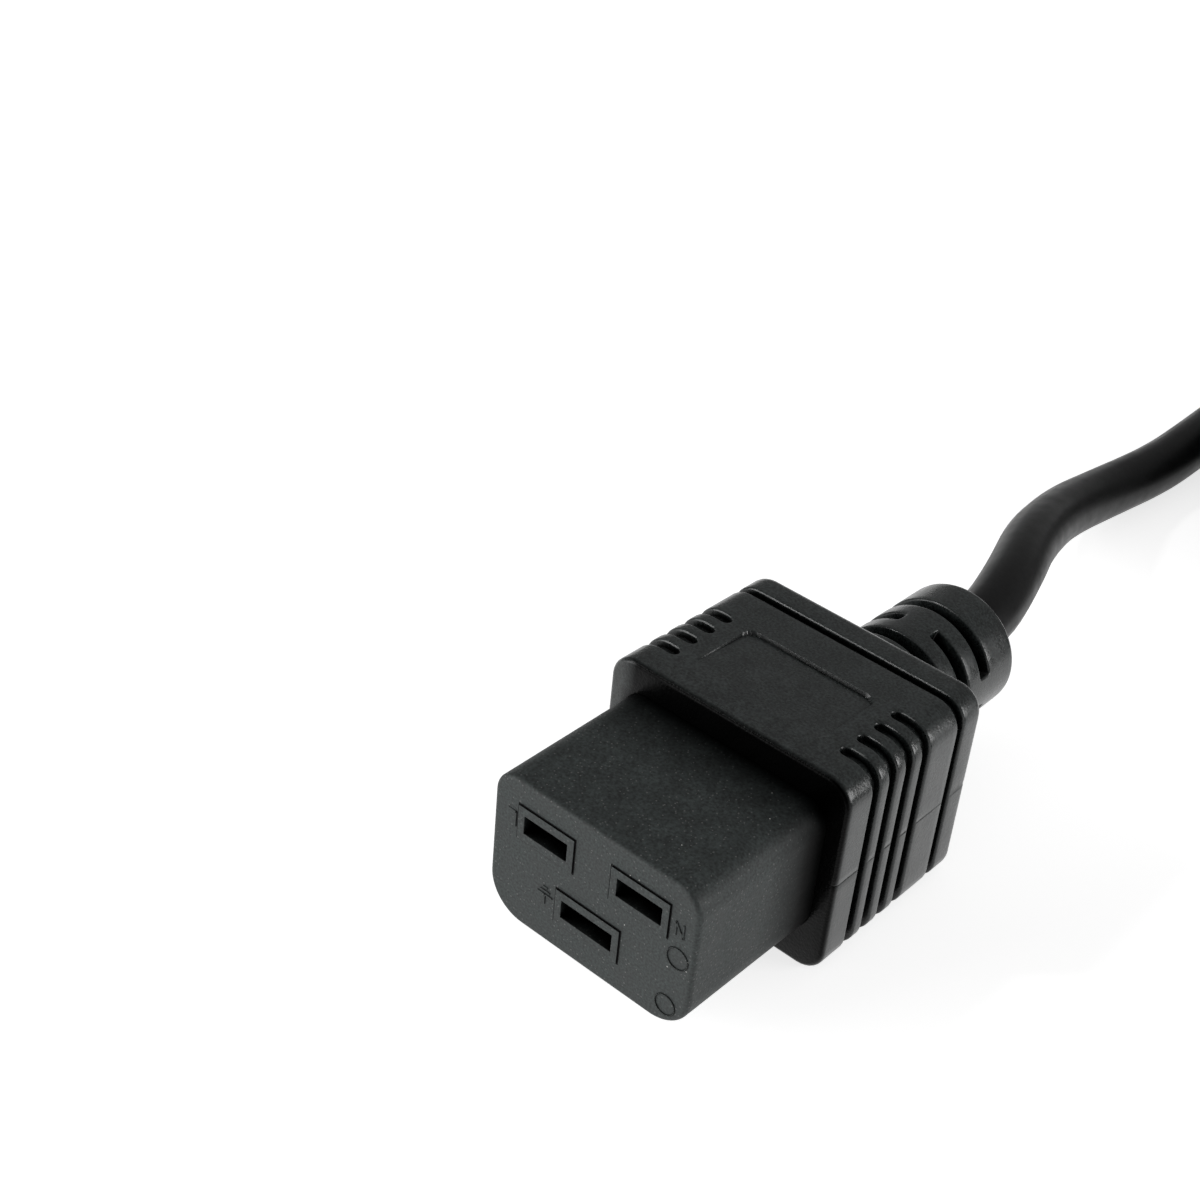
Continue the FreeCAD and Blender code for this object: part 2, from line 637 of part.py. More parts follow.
def contact_block():
    """Rigid moulding with the mating face, its three slots and the chambers behind them."""
    section = ("sizes.nose_width", "sizes.nose_height", "sizes.nose_upper_corner", "sizes.nose_lower_corner")
    body = new_body("contact_block_body")
    nose = section_sketch(body, "nose_section", "-sizes.nose_length", section)
    feature = pad(body, "nose", nose, "sizes.nose_length + sizes.root_depth", True)
    doc.recompute()
    bevel = body.newObject("PartDesign::Fillet", "nose_edge")
    bevel.Base = (feature, edges_at(feature, -number("sizes.nose_length")))
    bevel.setExpression("Radius", "sizes.nose_bevel")
    rib = section_sketch(body, "rib_section", "sizes.rib_start", (
        "(sizes.nose_width + 2 * sizes.rib_height)",
        "(sizes.nose_height + 2 * sizes.rib_height)",
        "(sizes.nose_upper_corner + sizes.rib_height)",
        "(sizes.nose_lower_corner + sizes.rib_height)"))
    pad(body, "rib", rib, "sizes.rib_length", True)
    for pole, x, z, width in POLES:
        frame = sketch_on(body, "frame_" + pole + "_section", "XZ_Plane", (x, z, "sizes.nose_length"))
        rectangle(frame, "(%s + sizes.frame_margin_x)" % width, "(sizes.slot_height + sizes.frame_margin_z)")
        pad(body, "frame_" + pole, frame, "sizes.frame_rise", False)
    for pole, x, z, width in POLES:
        chamber = sketch_on(body, "chamber_" + pole + "_section", "XZ_Plane", (x, z, "-sizes.root_depth"))
        rectangle(chamber, "sizes.chamber_width", "sizes.chamber_height")
        depth = "sizes.root_depth + sizes.nose_length - sizes.front_wall"
        pocket(body, "chamber_" + pole, chamber, depth, False)
        front = "sizes.nose_length + sizes.frame_rise"
        slot = sketch_on(body, "slot_" + pole + "_section", "XZ_Plane", (x, z, front))
        rectangle(slot, width, "sizes.slot_height")
        pocket(body, "slot_" + pole, slot, "sizes.frame_rise + sizes.front_wall", True)
    return keep("contact_block", body, CONNECTOR_PLACE)


def chamber_cover():
    """Plate behind the contact block, with a hole for each core."""
    body = new_body("chamber_cover_body")
    plate = section_sketch(body, "cover_section", "sizes.root_depth", (
        "(sizes.nose_width - 2 * sizes.cover_inset)",
        "(sizes.nose_height - 2 * sizes.cover_inset)",
        "(sizes.nose_upper_corner - sizes.cover_inset)",
        "(sizes.nose_lower_corner - sizes.cover_inset)"))
    pad(body, "cover_plate", plate, "sizes.cover_thickness", True)
    for pole, x, z, _ in POLES:
        hole = sketch_on(body, "cover_hole_" + pole + "_section", "XZ_Plane", (x, z, "-sizes.root_depth"))
        circle(hole, "(sizes.core_diameter / 2)")
        pocket(body, "cover_hole_" + pole, hole, "sizes.cover_thickness", True)
    return keep("chamber_cover", body, CONNECTOR_PLACE)


CONTACT_FRONT = "(-sizes.nose_length + sizes.front_wall + sizes.contact_setback)"
CRIMP_START = "(%s + sizes.contact_length + sizes.neck_length)" % CONTACT_FRONT


def female_contact(pole, x, z):
    """Folded sheet contact: a spring box for the pin, a neck and a crimp barrel."""
    stem = "contact_" + pole
    wall = "sizes.contact_wall"
    outer = block(
        stem + "_box",
        ("%s - sizes.contact_width / 2" % x, CONTACT_FRONT, "%s - sizes.contact_height / 2" % z),
        ("sizes.contact_width", "sizes.contact_length", "sizes.contact_height"))
    inner = block(
        stem + "_room",
        ("%s - sizes.contact_width / 2 + %s" % (x, wall), CONTACT_FRONT,
         "%s - sizes.contact_height / 2 + %s" % (z, wall)),
        ("sizes.contact_width - 2 * " + wall, "sizes.contact_length", "sizes.contact_height - 2 * " + wall))
    neck = block(
        stem + "_neck",
        ("%s - sizes.neck_width / 2" % x, "%s + sizes.contact_length - %s" % (CONTACT_FRONT, wall),
         "%s - sizes.contact_height / 2" % z),
        ("sizes.neck_width", "sizes.neck_length + 2 * " + wall, wall))
    barrel_outer = "sizes.copper_diameter / 2 + sizes.crimp_wall"
    barrel = rod(stem + "_barrel", (x, CRIMP_START, z), barrel_outer, "sizes.crimp_length")
    bore = rod(stem + "_bore", (x, CRIMP_START, z), "sizes.copper_diameter / 2", "sizes.crimp_length")
    foot_height = "sizes.contact_height / 2 - sizes.copper_diameter / 2"
    foot = block(
        stem + "_foot",
        ("%s - sizes.crimp_wall" % x, CRIMP_START, "%s - sizes.contact_height / 2" % z),
        ("2 * sizes.crimp_wall", wall, foot_height))
    metal = fuse(stem + "_metal", [cut(stem + "_springs", outer, inner), neck, barrel, foot])
    return keep(stem, cut(stem + "_formed", metal, bore), CONNECTOR_PLACE)


def connector_overmould(moulded_round):
    """Soft grip and boot in one piece, moulded round the block, its cover, the cores and the jacket."""
    outer = grip_shape("grip", "grip", ["sizes.grip_ring_groove"], open_front=True)
    seat = new_body("block_seat")
    section = ("sizes.nose_width", "sizes.nose_height", "sizes.nose_upper_corner", "sizes.nose_lower_corner")
    block = section_sketch(seat, "block_seat_section", "0", section)
    pad(seat, "block_seat_pad", block, "sizes.root_depth", True)
    rib = section_sketch(seat, "rib_seat_section", "sizes.rib_start", (
        "(sizes.nose_width + 2 * sizes.rib_height)",
        "(sizes.nose_height + 2 * sizes.rib_height)",
        "(sizes.nose_upper_corner + sizes.rib_height)",
        "(sizes.nose_lower_corner + sizes.rib_height)"))
    pad(seat, "rib_seat", rib, "sizes.rib_length", True)
    cover = section_sketch(seat, "cover_seat_section", "sizes.root_depth", (
        "(sizes.nose_width - 2 * sizes.cover_inset)",
        "(sizes.nose_height - 2 * sizes.cover_inset)",
        "(sizes.nose_upper_corner - sizes.cover_inset)",
        "(sizes.nose_lower_corner - sizes.cover_inset)"))
    pad(seat, "cover_seat", cover, "sizes.cover_thickness", True)
    space = fuse("connector_space", [seat] + moulded_round)
    return keep("overmould", cut("overmould_shape", outer, space), CONNECTOR_PLACE)


def build_connector():
    contact_block()
    chamber_cover()
    poles = []
    for (pole, x, z, _), lay_angle in zip(POLES, CORE_ANGLES):
        female_contact(pole, x, z)
        poles.append((pole, number(x), number(z), lay_angle))
    crimp_end = number(CRIMP_START) + number("sizes.crimp_length")
    mouth = number("sizes.grip_length + sizes.boot_length")
    bend = number("sizes.connector_bend")
    moulded_round = cord_end("", poles, number(CRIMP_START), crimp_end, bend, mouth, CONNECTOR_PLACE)
    connector_overmould(moulded_round)


# ---------------------------------------------------------------- C20 plug

def plug_shroud():
    """Rigid moulding: open shroud, the wall that holds the pins and the carrier behind it."""
    body = new_body("plug_shroud_body")
    section = ("sizes.plug_front_width", "sizes.plug_front_height", "sizes.plug_corner", "sizes.plug_corner")
    outline = section_sketch(body, "shroud_section", "-sizes.shroud_length", section)
    length = "sizes.shroud_length - sizes.joint_groove"
    shroud = pad(body, "shroud", outline, length, True)
    rim = round_edges(body, "shroud_rim", shroud, "-sizes.shroud_length", "sizes.shroud_lip")
    rim.Refine = True
    step = section_sketch(body, "joint_section", "-sizes.joint_groove", (
        "(sizes.plug_front_width - 2 * sizes.groove_depth)",
        "(sizes.plug_front_height - 2 * sizes.groove_depth)",
        "(sizes.plug_corner - sizes.groove_depth)",
        "(sizes.plug_corner - sizes.groove_depth)"))
    pad(body, "joint_step", step, "2 * sizes.joint_groove", True)
    carrier = section_sketch(body, "carrier_section", "sizes.joint_groove", (
        "sizes.carrier_width", "sizes.carrier_height", "sizes.carrier_corner", "sizes.carrier_corner"))
    pad(body, "carrier", carrier, "sizes.carrier_depth - sizes.joint_groove", True)
    cavity = section_sketch(body, "cavity_section", "-sizes.shroud_length", (
        "(sizes.plug_front_width - 2 * sizes.shroud_wall)",
        "(sizes.plug_front_height - 2 * sizes.shroud_wall)",
        "sizes.shroud_inner_corner", "sizes.shroud_inner_corner"))
    pocket(body, "cavity", cavity, "sizes.shroud_length - sizes.shroud_floor", True)
    for pole, x, z, _ in POLES:
        width = "sizes.earth_pin_width" if pole == "earth" else "sizes.pin_width"
        seat = sketch_on(body, "pin_seat_" + pole + "_section", "XZ_Plane", (x, z, "sizes.shroud_floor"))
        rectangle(seat, width, "sizes.pin_thickness")
        pocket(body, "pin_seat_" + pole, seat, "sizes.shroud_floor + sizes.carrier_depth", True)
    return keep("plug_shroud", body, PLUG_PLACE)


def plug_pin(pole, x, z):
    """Flat pin with bevelled tip edges, and the crimp barrel behind its carrier."""
    earth = pole == "earth"
    width = "sizes.earth_pin_width" if earth else "sizes.pin_width"
    reach = "(sizes.pin_reach + sizes.earth_pin_lead)" if earth else "sizes.pin_reach"
    tip = "(-sizes.shroud_floor - %s)" % reach
    body = new_body("pin_" + pole + "_blade")
    section = sketch_on(body, "pin_" + pole + "_section", "XZ_Plane", (x, z, "-" + tip))
    rectangle(section, width, "sizes.pin_thickness")
    reach = "-%s + sizes.carrier_depth + sizes.pin_shank" % tip
    blade = pad(body, "pin_" + pole + "_pad", section, reach, True)
    doc.recompute()
    bevel = body.newObject("PartDesign::Chamfer", "pin_" + pole + "_tip")
    bevel.Base = (blade, edges_at(blade, number(tip)))
    bevel.setExpression("Size", "sizes.pin_bevel")
    barrel_start = "(sizes.carrier_depth + sizes.pin_shank)"
    outer = "sizes.copper_diameter / 2 + sizes.crimp_wall"
    barrel = rod("pin_" + pole + "_barrel", (x, barrel_start, z), outer, "sizes.crimp_length")
    bore_start = (x, barrel_start, z)
    bore = rod("pin_" + pole + "_bore", bore_start, "sizes.copper_diameter / 2", "sizes.crimp_length")
    metal = fuse("pin_" + pole + "_metal", [body, barrel])
    return keep("pin_" + pole, cut("pin_" + pole + "_formed", metal, bore), PLUG_PLACE)


def plug_overmould(moulded_round):
    """Soft grip and boot in one piece, moulded round the carrier, the barrels, the cores and the jacket."""
    rings = ["sizes.plug_ring_groove", "(sizes.plug_ring_groove - sizes.plug_ring_spacing)"]
    outer = grip_shape("plug_grip", "plug", rings, open_front=False)
    seat = new_body("carrier_seat")
    step = section_sketch(seat, "joint_seat_section", "0", (
        "(sizes.plug_front_width + 2 * sizes.groove_depth)",
        "(sizes.plug_front_height + 2 * sizes.groove_depth)",
        "sizes.plug_corner", "sizes.plug_corner"))
    pad(seat, "joint_seat", step, "sizes.joint_groove", True)
    carrier = section_sketch(seat, "carrier_seat_section", "sizes.joint_groove", (
        "sizes.carrier_width", "sizes.carrier_height", "sizes.carrier_corner", "sizes.carrier_corner"))
    pad(seat, "carrier_seat_pad", carrier, "sizes.carrier_depth - sizes.joint_groove", True)
    barrels = []
    for pole, x, z, _ in POLES:
        width = "sizes.earth_pin_width" if pole == "earth" else "sizes.pin_width"
        shank = block(
            "shank_seat_" + pole,
            ("%s - %s / 2" % (x, width), "sizes.carrier_depth", "%s - sizes.pin_thickness / 2" % z),
            (width, "sizes.pin_shank", "sizes.pin_thickness"))
        barrel = rod(
            "barrel_seat_" + pole, (x, "sizes.carrier_depth + sizes.pin_shank", z),
            "sizes.copper_diameter / 2 + sizes.crimp_wall", "sizes.crimp_length")
        barrels += [shank, barrel]
    space = fuse("plug_space", [seat] + barrels + moulded_round)
    return keep("plug_overmould", cut("plug_overmould_shape", outer, space), PLUG_PLACE)


def build_plug():
    plug_shroud()
    poles = []
    for (pole, x, z, _), lay_angle in zip(POLES, CORE_ANGLES):
        plug_pin(pole, x, z)
        poles.append((pole, number(x), number(z), lay_angle))
    barrel_start = number("sizes.carrier_depth + sizes.pin_shank")
    barrel_end = barrel_start + number("sizes.crimp_length")
    mouth = number("sizes.plug_length + sizes.boot_length")
    bend = number("sizes.plug_bend")
    plug_overmould(cord_end("plug_", poles, barrel_start, barrel_end, bend, mouth, PLUG_PLACE))


# ---------------------------------------------------------------- coil and its tie

def build_coil():
    """The tied bundle's outer shape, with the straight ways in and out of it, and its cable tie."""
    ring = new_body("coil_ring")
    bundle = sketch_on(ring, "bundle_section", "XZ_Plane", ("sizes.coil_radius", LAYER_SPAN + " / 2", "0"))
    corner = "(sizes.cord_diameter / 2)"
    rounded_rectangle(bundle, LANE_SPAN, LAYER_SPAN, corner, corner)
    turns = ring.newObject("PartDesign::Revolution", "turns")
    turns.Profile = bundle
    turns.ReferenceAxis = (next(f for f in ring.Origin.OriginFeatures if f.Role == "Z_Axis"), [""])
    turns.Angle = 360
    radius = "sizes.cord_diameter / 2"
    way_in = rod("coil_way_in", ("-" + OUTER_LANE, "-sizes.coil_stub", radius), radius, "sizes.coil_stub")
    last_layer = LAYER_SPAN + " - " + radius
    way_out = rod("coil_way_out", (OUTER_LANE, "-sizes.coil_stub", last_layer), radius, "sizes.coil_stub")

    band = new_body("tie_band")
    outer_up = "(%s + sizes.tie_proud)" % LAYER_SPAN
    outer_across = "(%s + 2 * sizes.tie_proud)" % LANE_SPAN
    band_place = ("sizes.coil_radius", outer_up + " / 2", "-sizes.tie_width / 2")
    outline = sketch_on(band, "band_outline", "YZ_Plane", band_place)
    rounded_rectangle(outline, outer_across, outer_up, corner, corner)
    strap = band.newObject("PartDesign::Pad", "band_strap")
    strap.Profile = outline
    strap.setExpression("Length", "sizes.tie_width")
    opening = sketch_on(band, "band_opening", "YZ_Plane", band_place)
    twice_wall = "2 * sizes.tie_wall"
    inner_corner = "(sizes.cord_diameter / 2 - sizes.tie_wall)"
    rounded_rectangle(
        opening, "(%s - %s)" % (outer_across, twice_wall), "(%s - %s)" % (outer_up, twice_wall),
        inner_corner, inner_corner)
    hole = band.newObject("PartDesign::Pocket", "band_hole")
    hole.Profile = opening
    hole.setExpression("Length", "sizes.tie_width")
    hole.Reversed = True
    head = block(
        "tie_lock",
        ("-sizes.tie_head / 2", "sizes.coil_radius - sizes.tie_head / 2", outer_up + " - sizes.tie_wall / 2"),
        ("sizes.tie_head", "sizes.tie_head", "sizes.tie_head_rise"))
    whole = fuse("coil_whole", [ring, way_in, way_out])
    keep("cord_coil", cut("coil_shape", whole, band), COIL_PLACE)
    keep("coil_tie", fuse("tie_shape", [band, head]), COIL_PLACE)


# ---------------------------------------------------------------- build, test and write

build_connector()
cord_tube("cord_lead", LEAD_ROUTE)
build_coil()
cord_tube("cord_tail", TAIL_ROUTE)
build_plug()
doc.recompute()

failed = [item.Name for item in doc.Objects if "Invalid" in item.State or "Error" in item.State]
for solid in nodes:
    if solid.Shape.isNull() or not solid.Shape.isValid():
        failed.append(solid.Label)
if failed:
    raise ValueError("failed objects: " + ", ".join(failed))

os.makedirs("parts", exist_ok=True)
for solid in nodes:
    solid.Shape.exportStep("parts/%s.step" % solid.Label)
print(len(nodes), "sub-parts written")
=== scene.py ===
"""Looks of the C19 connector with its cord, coil and C20 plug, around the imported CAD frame.

Lengths in the part's own shapes are in millimetres and are scaled to metres once, by MM.
"""

import json
import math

import bmesh
import bpy
from mathutils import Matrix, Vector


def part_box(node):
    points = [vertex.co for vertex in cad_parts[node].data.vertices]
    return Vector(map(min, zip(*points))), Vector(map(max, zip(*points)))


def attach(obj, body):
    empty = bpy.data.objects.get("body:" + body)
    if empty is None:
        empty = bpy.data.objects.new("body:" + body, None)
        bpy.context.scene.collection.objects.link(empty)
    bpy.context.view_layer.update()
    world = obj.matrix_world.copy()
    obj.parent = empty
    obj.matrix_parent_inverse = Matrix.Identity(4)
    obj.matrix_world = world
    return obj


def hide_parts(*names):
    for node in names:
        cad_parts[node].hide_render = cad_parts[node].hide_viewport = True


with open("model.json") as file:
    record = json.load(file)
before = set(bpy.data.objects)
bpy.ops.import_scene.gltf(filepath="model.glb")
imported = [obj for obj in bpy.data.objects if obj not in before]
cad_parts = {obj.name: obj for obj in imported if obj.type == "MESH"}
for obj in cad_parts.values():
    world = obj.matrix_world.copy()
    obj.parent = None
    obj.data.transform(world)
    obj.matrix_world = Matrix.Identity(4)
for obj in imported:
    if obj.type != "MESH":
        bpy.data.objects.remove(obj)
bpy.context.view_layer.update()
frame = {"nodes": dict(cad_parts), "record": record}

MM = 0.001


# ---------------------------------------------------------------- camera

def add_camera():
    """The view from the right, above and in front of the mating face."""
    azimuth = math.radians(39.06)
    elevation = math.radians(34.60)
    roll = math.radians(5.39)
    position = Vector((99.09, -159.20, 161.24)) * MM
    away = Vector((
        math.sin(azimuth) * math.cos(elevation),
        -math.cos(azimuth) * math.cos(elevation),
        math.sin(elevation)))
    level = Vector((math.cos(azimuth), math.sin(azimuth), 0.0))
    upright = away.cross(level)
    right = level * math.cos(roll) + upright * math.sin(roll)
    up = upright * math.cos(roll) - level * math.sin(roll)
    data = bpy.data.cameras.new("camera")
    data.sensor_width = 36.0
    data.lens = 62.31
    data.clip_start = 0.01
    camera = bpy.data.objects.new("camera", data)
    turn = Matrix((right, up, away)).transposed().to_4x4()
    camera.matrix_world = Matrix.Translation(position) @ turn
    bpy.context.scene.collection.objects.link(camera)
    bpy.context.scene.camera = camera


# ---------------------------------------------------------------- cord

CORD_DIAMETER = 7.8
COIL_LANES = 3
COIL_RADIUS = 46.6
OUTER_LANE = COIL_RADIUS + (COIL_LANES - 1) / 2 * CORD_DIAMETER
POINTS_PER_TURN = 16
TURNS = 5.5
LEAD_ROUTE = [
    (0.0, 28.4, 13.3),
    (0.0, 39.5, 13.3),
    (-3.1, 51.3, 13.2),
    (-8.4, 65.0, 11.2),
    (-11.8, 79.5, 7.8),
    (-12.6, 94.0, 4.8),
    (-11.4, 108.0, 3.9),
    (-11.4, 119.0, 3.9),
]
TAIL_ROUTE = [
    (97.4, 119.0, 11.7),
    (97.4, 107.2, 11.7),
    (95.2, 93.4, 12.2),
    (93.8, 79.6, 12.7),
    (93.8, 68.4, 12.7),
]
COIL_STUB = 31.0
# Share of a turn for which the cord stays in its lane before it moves over to the next.
LANE_HOLD = 0.62


def smooth(value):
    """0 below 0, 1 above 1 and a rise between that starts and ends gently."""
    value = min(max(value, 0.0), 1.0)
    return value * value * (3.0 - 2.0 * value)


def lane_and_layer(turn):
    """Which lane and layer the cord lies in after some turns: inwards on the floor, outwards on top."""
    lanes = [2, 1, 0, 0, 1, 2]
    layers = [0, 0, 0, 1, 1, 1]
    index = min(int(turn), len(lanes) - 1)
    shift = smooth((turn - index - LANE_HOLD) / (1.0 - LANE_HOLD))
    after = min(index + 1, len(lanes) - 1)
    lane = lanes[index] + (lanes[after] - lanes[index]) * shift
    layer = layers[index] + (layers[after] - layers[index]) * shift
    return lane, layer


def coil_points():
    """Points of the tied coil, clockwise from the lead's side to the tail's side."""
    centre_x = LEAD_ROUTE[-1][0] + OUTER_LANE
    centre_y = LEAD_ROUTE[-1][1] + COIL_STUB
    inner = COIL_RADIUS - (COIL_LANES - 1) / 2 * CORD_DIAMETER
    overshoot = 1.0 / math.cos(math.pi / POINTS_PER_TURN)
    points = []
    for step in range(int(TURNS * POINTS_PER_TURN) + 1):
        turn = step / POINTS_PER_TURN
        lane, layer = lane_and_layer(turn)
        radius = (inner + lane * CORD_DIAMETER) * overshoot
        angle = math.pi - turn * 2 * math.pi
        points.append((
            centre_x + radius * math.cos(angle),
            centre_y + radius * math.sin(angle),
            CORD_DIAMETER / 2 + layer * CORD_DIAMETER))
    return points


def add_cord():
    """One open spline for the whole cord: lead, coil and tail."""
    route = LEAD_ROUTE + coil_points() + TAIL_ROUTE
    data = bpy.data.curves.new("cord", "CURVE")
    data.dimensions = "3D"
    data.bevel_depth = CORD_DIAMETER / 2 * MM
    data.bevel_resolution = 6
    data.use_fill_caps = True
    data.resolution_u = 6
    spline = data.splines.new("NURBS")
    spline.points.add(len(route) - 1)
    for point, place in zip(spline.points, route):
        point.co = (place[0] * MM, place[1] * MM, place[2] * MM, 1.0)
    spline.order_u = 3
    spline.use_endpoint_u = True
    cord = bpy.data.objects.new("cord", data)
    bpy.context.scene.collection.objects.link(cord)
    return cord


# ---------------------------------------------------------------- procedural materials

def shader(name):
    """A new material with its node maker, its link maker and its Principled shader."""
    material = bpy.data.materials.new(name)
    material.use_nodes = True
    nodes = material.node_tree.nodes
    link = material.node_tree.links.new
    surface = next(node for node in nodes if node.type == "BSDF_PRINCIPLED")
    return material, nodes, link, surface


def noise(nodes, link, place, feature_size, detail=3.0):
    """A noise texture whose features are about that many millimetres across."""
    node = nodes.new("ShaderNodeTexNoise")
    node.inputs["Scale"].default_value = 1.0 / (feature_size * MM)
    node.inputs["Detail"].default_value = detail
    link(place.outputs["Object"], node.inputs["Vector"])
    return node


def spread(nodes, link, value, low, high):
    """Map the middle of a noise's range to low and high."""
    node = nodes.new("ShaderNodeMapRange")
    node.inputs["From Min"].default_value = 0.3
    node.inputs["From Max"].default_value = 0.7
    node.inputs["To Min"].default_value = low
    node.inputs["To Max"].default_value = high
    link(value, node.inputs["Value"])
    return node.outputs["Result"]


def product(nodes, link, first, second):
    """Two values multiplied."""
    node = nodes.new("ShaderNodeMath")
    node.operation = "MULTIPLY"
    link(first, node.inputs[0])
    link(second, node.inputs[1])
    return node.outputs["Value"]


def tinted(nodes, link, colour, tone, base=None):
    """A colour, or what base gives in its place, times a tone between 0 and about 1."""
    mix = nodes.new("ShaderNodeMix")
    mix.data_type = "RGBA"
    mix.blend_type = "MULTIPLY"
    mix.inputs["Factor"].default_value = 1.0
    mix.inputs["A"].default_value = colour
    if base:
        link(base, mix.inputs["A"])
    grey = nodes.new("ShaderNodeCombineColor")
    for channel in ("Red", "Green", "Blue"):
        link(tone, grey.inputs[channel])
    link(grey.outputs["Color"], mix.inputs["B"])
    return mix.outputs["Result"]


def dust(nodes, link, place, spacing, size, share):
    """Specks: small dots in a share of the cells of a Voronoi texture."""
    cells = nodes.new("ShaderNodeTexVoronoi")
    cells.inputs["Scale"].default_value = 1.0 / (spacing * MM)
    link(place.outputs["Object"], cells.inputs["Vector"])
    near = nodes.new("ShaderNodeMath")
    near.operation = "LESS_THAN"
    near.inputs[1].default_value = size / spacing
    link(cells.outputs["Distance"], near.inputs[0])
    split = nodes.new("ShaderNodeSeparateColor")
    link(cells.outputs["Color"], split.inputs["Color"])
    chosen = nodes.new("ShaderNodeMath")
    chosen.operation = "LESS_THAN"
    chosen.inputs[1].default_value = share
    link(split.outputs["Red"], chosen.inputs[0])
    return product(nodes, link, near.outputs["Value"], chosen.outputs["Value"])


def dusted(nodes, link, base, colour, amount):
    """A colour with specks of another on it."""
    mix = nodes.new("ShaderNodeMix")
    mix.data_type = "RGBA"
    mix.inputs["B"].default_value = colour
    link(amount, mix.inputs["Factor"])
    link(base, mix.inputs["A"])
    return mix.outputs["Result"]


def creases(nodes, link, reach, black, plain):
    """1 in the open and 0 where other surfaces within reach leave little open air: painted shade in creases.
    """
    open_air = nodes.new("ShaderNodeAmbientOcclusion")
    open_air.inputs["Distance"].default_value = reach * MM
    open_air.samples = 8
    tone = nodes.new("ShaderNodeMapRange")
    tone.inputs["From Min"].default_value = black
    tone.inputs["From Max"].default_value = plain
    link(open_air.outputs["AO"], tone.inputs["Value"])
    return tone.outputs["Result"]


def ramp(nodes, link, value, start, end):
    """0 up to start and 1 from end on; a start above the end falls instead of rising."""
    rise = nodes.new("ShaderNodeMapRange")
    rise.inputs["From Min"].default_value = start
    rise.inputs["From Max"].default_value = end
    link(value, rise.inputs["Value"])
    return rise.outputs["Result"]


def blended(nodes, link, factor, first, second):
    """The first value where the factor is 0 and the second where it is 1."""
    mix = nodes.new("ShaderNodeMix")
    link(factor, mix.inputs["Factor"])
    link(first, mix.inputs["A"])
    link(second, mix.inputs["B"])
    return mix.outputs["Result"]


def axes(nodes, link, vector):
    """The X, Y and Z of a vector."""
    split = nodes.new("ShaderNodeSeparateXYZ")
    link(vector, split.inputs["Vector"])
    return split.outputs


def block_shade(nodes, link, place):
    """Painted shade on the contact block: darker towards the grip, sooner on its sides than on its top, and
    darker in creases and holes.
    """
    along = axes(nodes, link, place.outputs["Object"])["Y"]
    upward = axes(nodes, link, place.outputs["Normal"])["Z"]
    grip_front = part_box("overmould")[0].y
    sides = ramp(nodes, link, along, start=grip_front - 2.6 * MM, end=grip_front - 9.6 * MM)
    top = ramp(nodes, link, along, start=grip_front + 1.5 * MM, end=grip_front - 9.0 * MM)
    # Painted shade at the feet of the frames and inside the slots.
    outline = creases(nodes, link, reach=0.7, black=0.45, plain=0.85)
    holes = creases(nodes, link, reach=4.0, black=0.5, plain=0.85)
    towards_grip = blended(nodes, link, upward, sides, top)
    in_creases = product(nodes, link, outline, holes)
    return product(nodes, link, towards_grip, in_creases)


def grip_shade(nodes, link, place):
    """Painted shade on the grip: darker in its grooves, and a painted shadow of the contact block on its
    front face round it.
    """
    position = axes(nodes, link, place.outputs["Object"])
    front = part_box("overmould")[0].y
    block_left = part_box("contact_block")[0].x
    # The painted shadow covers the front face but leaves out the strip beside the block's left side, as if
    # lit from the left.
    behind_front = ramp(nodes, link, position["Y"], start=front + 0.15 * MM, end=front + 0.75 * MM)
    beside_block = ramp(nodes, link, position["X"], start=block_left + 2.0 * MM, end=block_left)
    lit = nodes.new("ShaderNodeMath")
    lit.operation = "MAXIMUM"
    link(behind_front, lit.inputs[0])
    link(beside_block, lit.inputs[1])
    # Painted shade in the grooves and at the feet of their walls.
    wide = creases(nodes, link, reach=2.5, black=0.42, plain=0.8)
    tight = creases(nodes, link, reach=0.6, black=0.5, plain=0.9)
    grooves = product(nodes, link, wide, tight)
    return product(nodes, link, lit.outputs["Value"], grooves)


def plain_shade(nodes, link, place):
    """Painted shade, only in deep creases."""
    return creases(nodes, link, reach=4.0, black=0.3, plain=0.85)


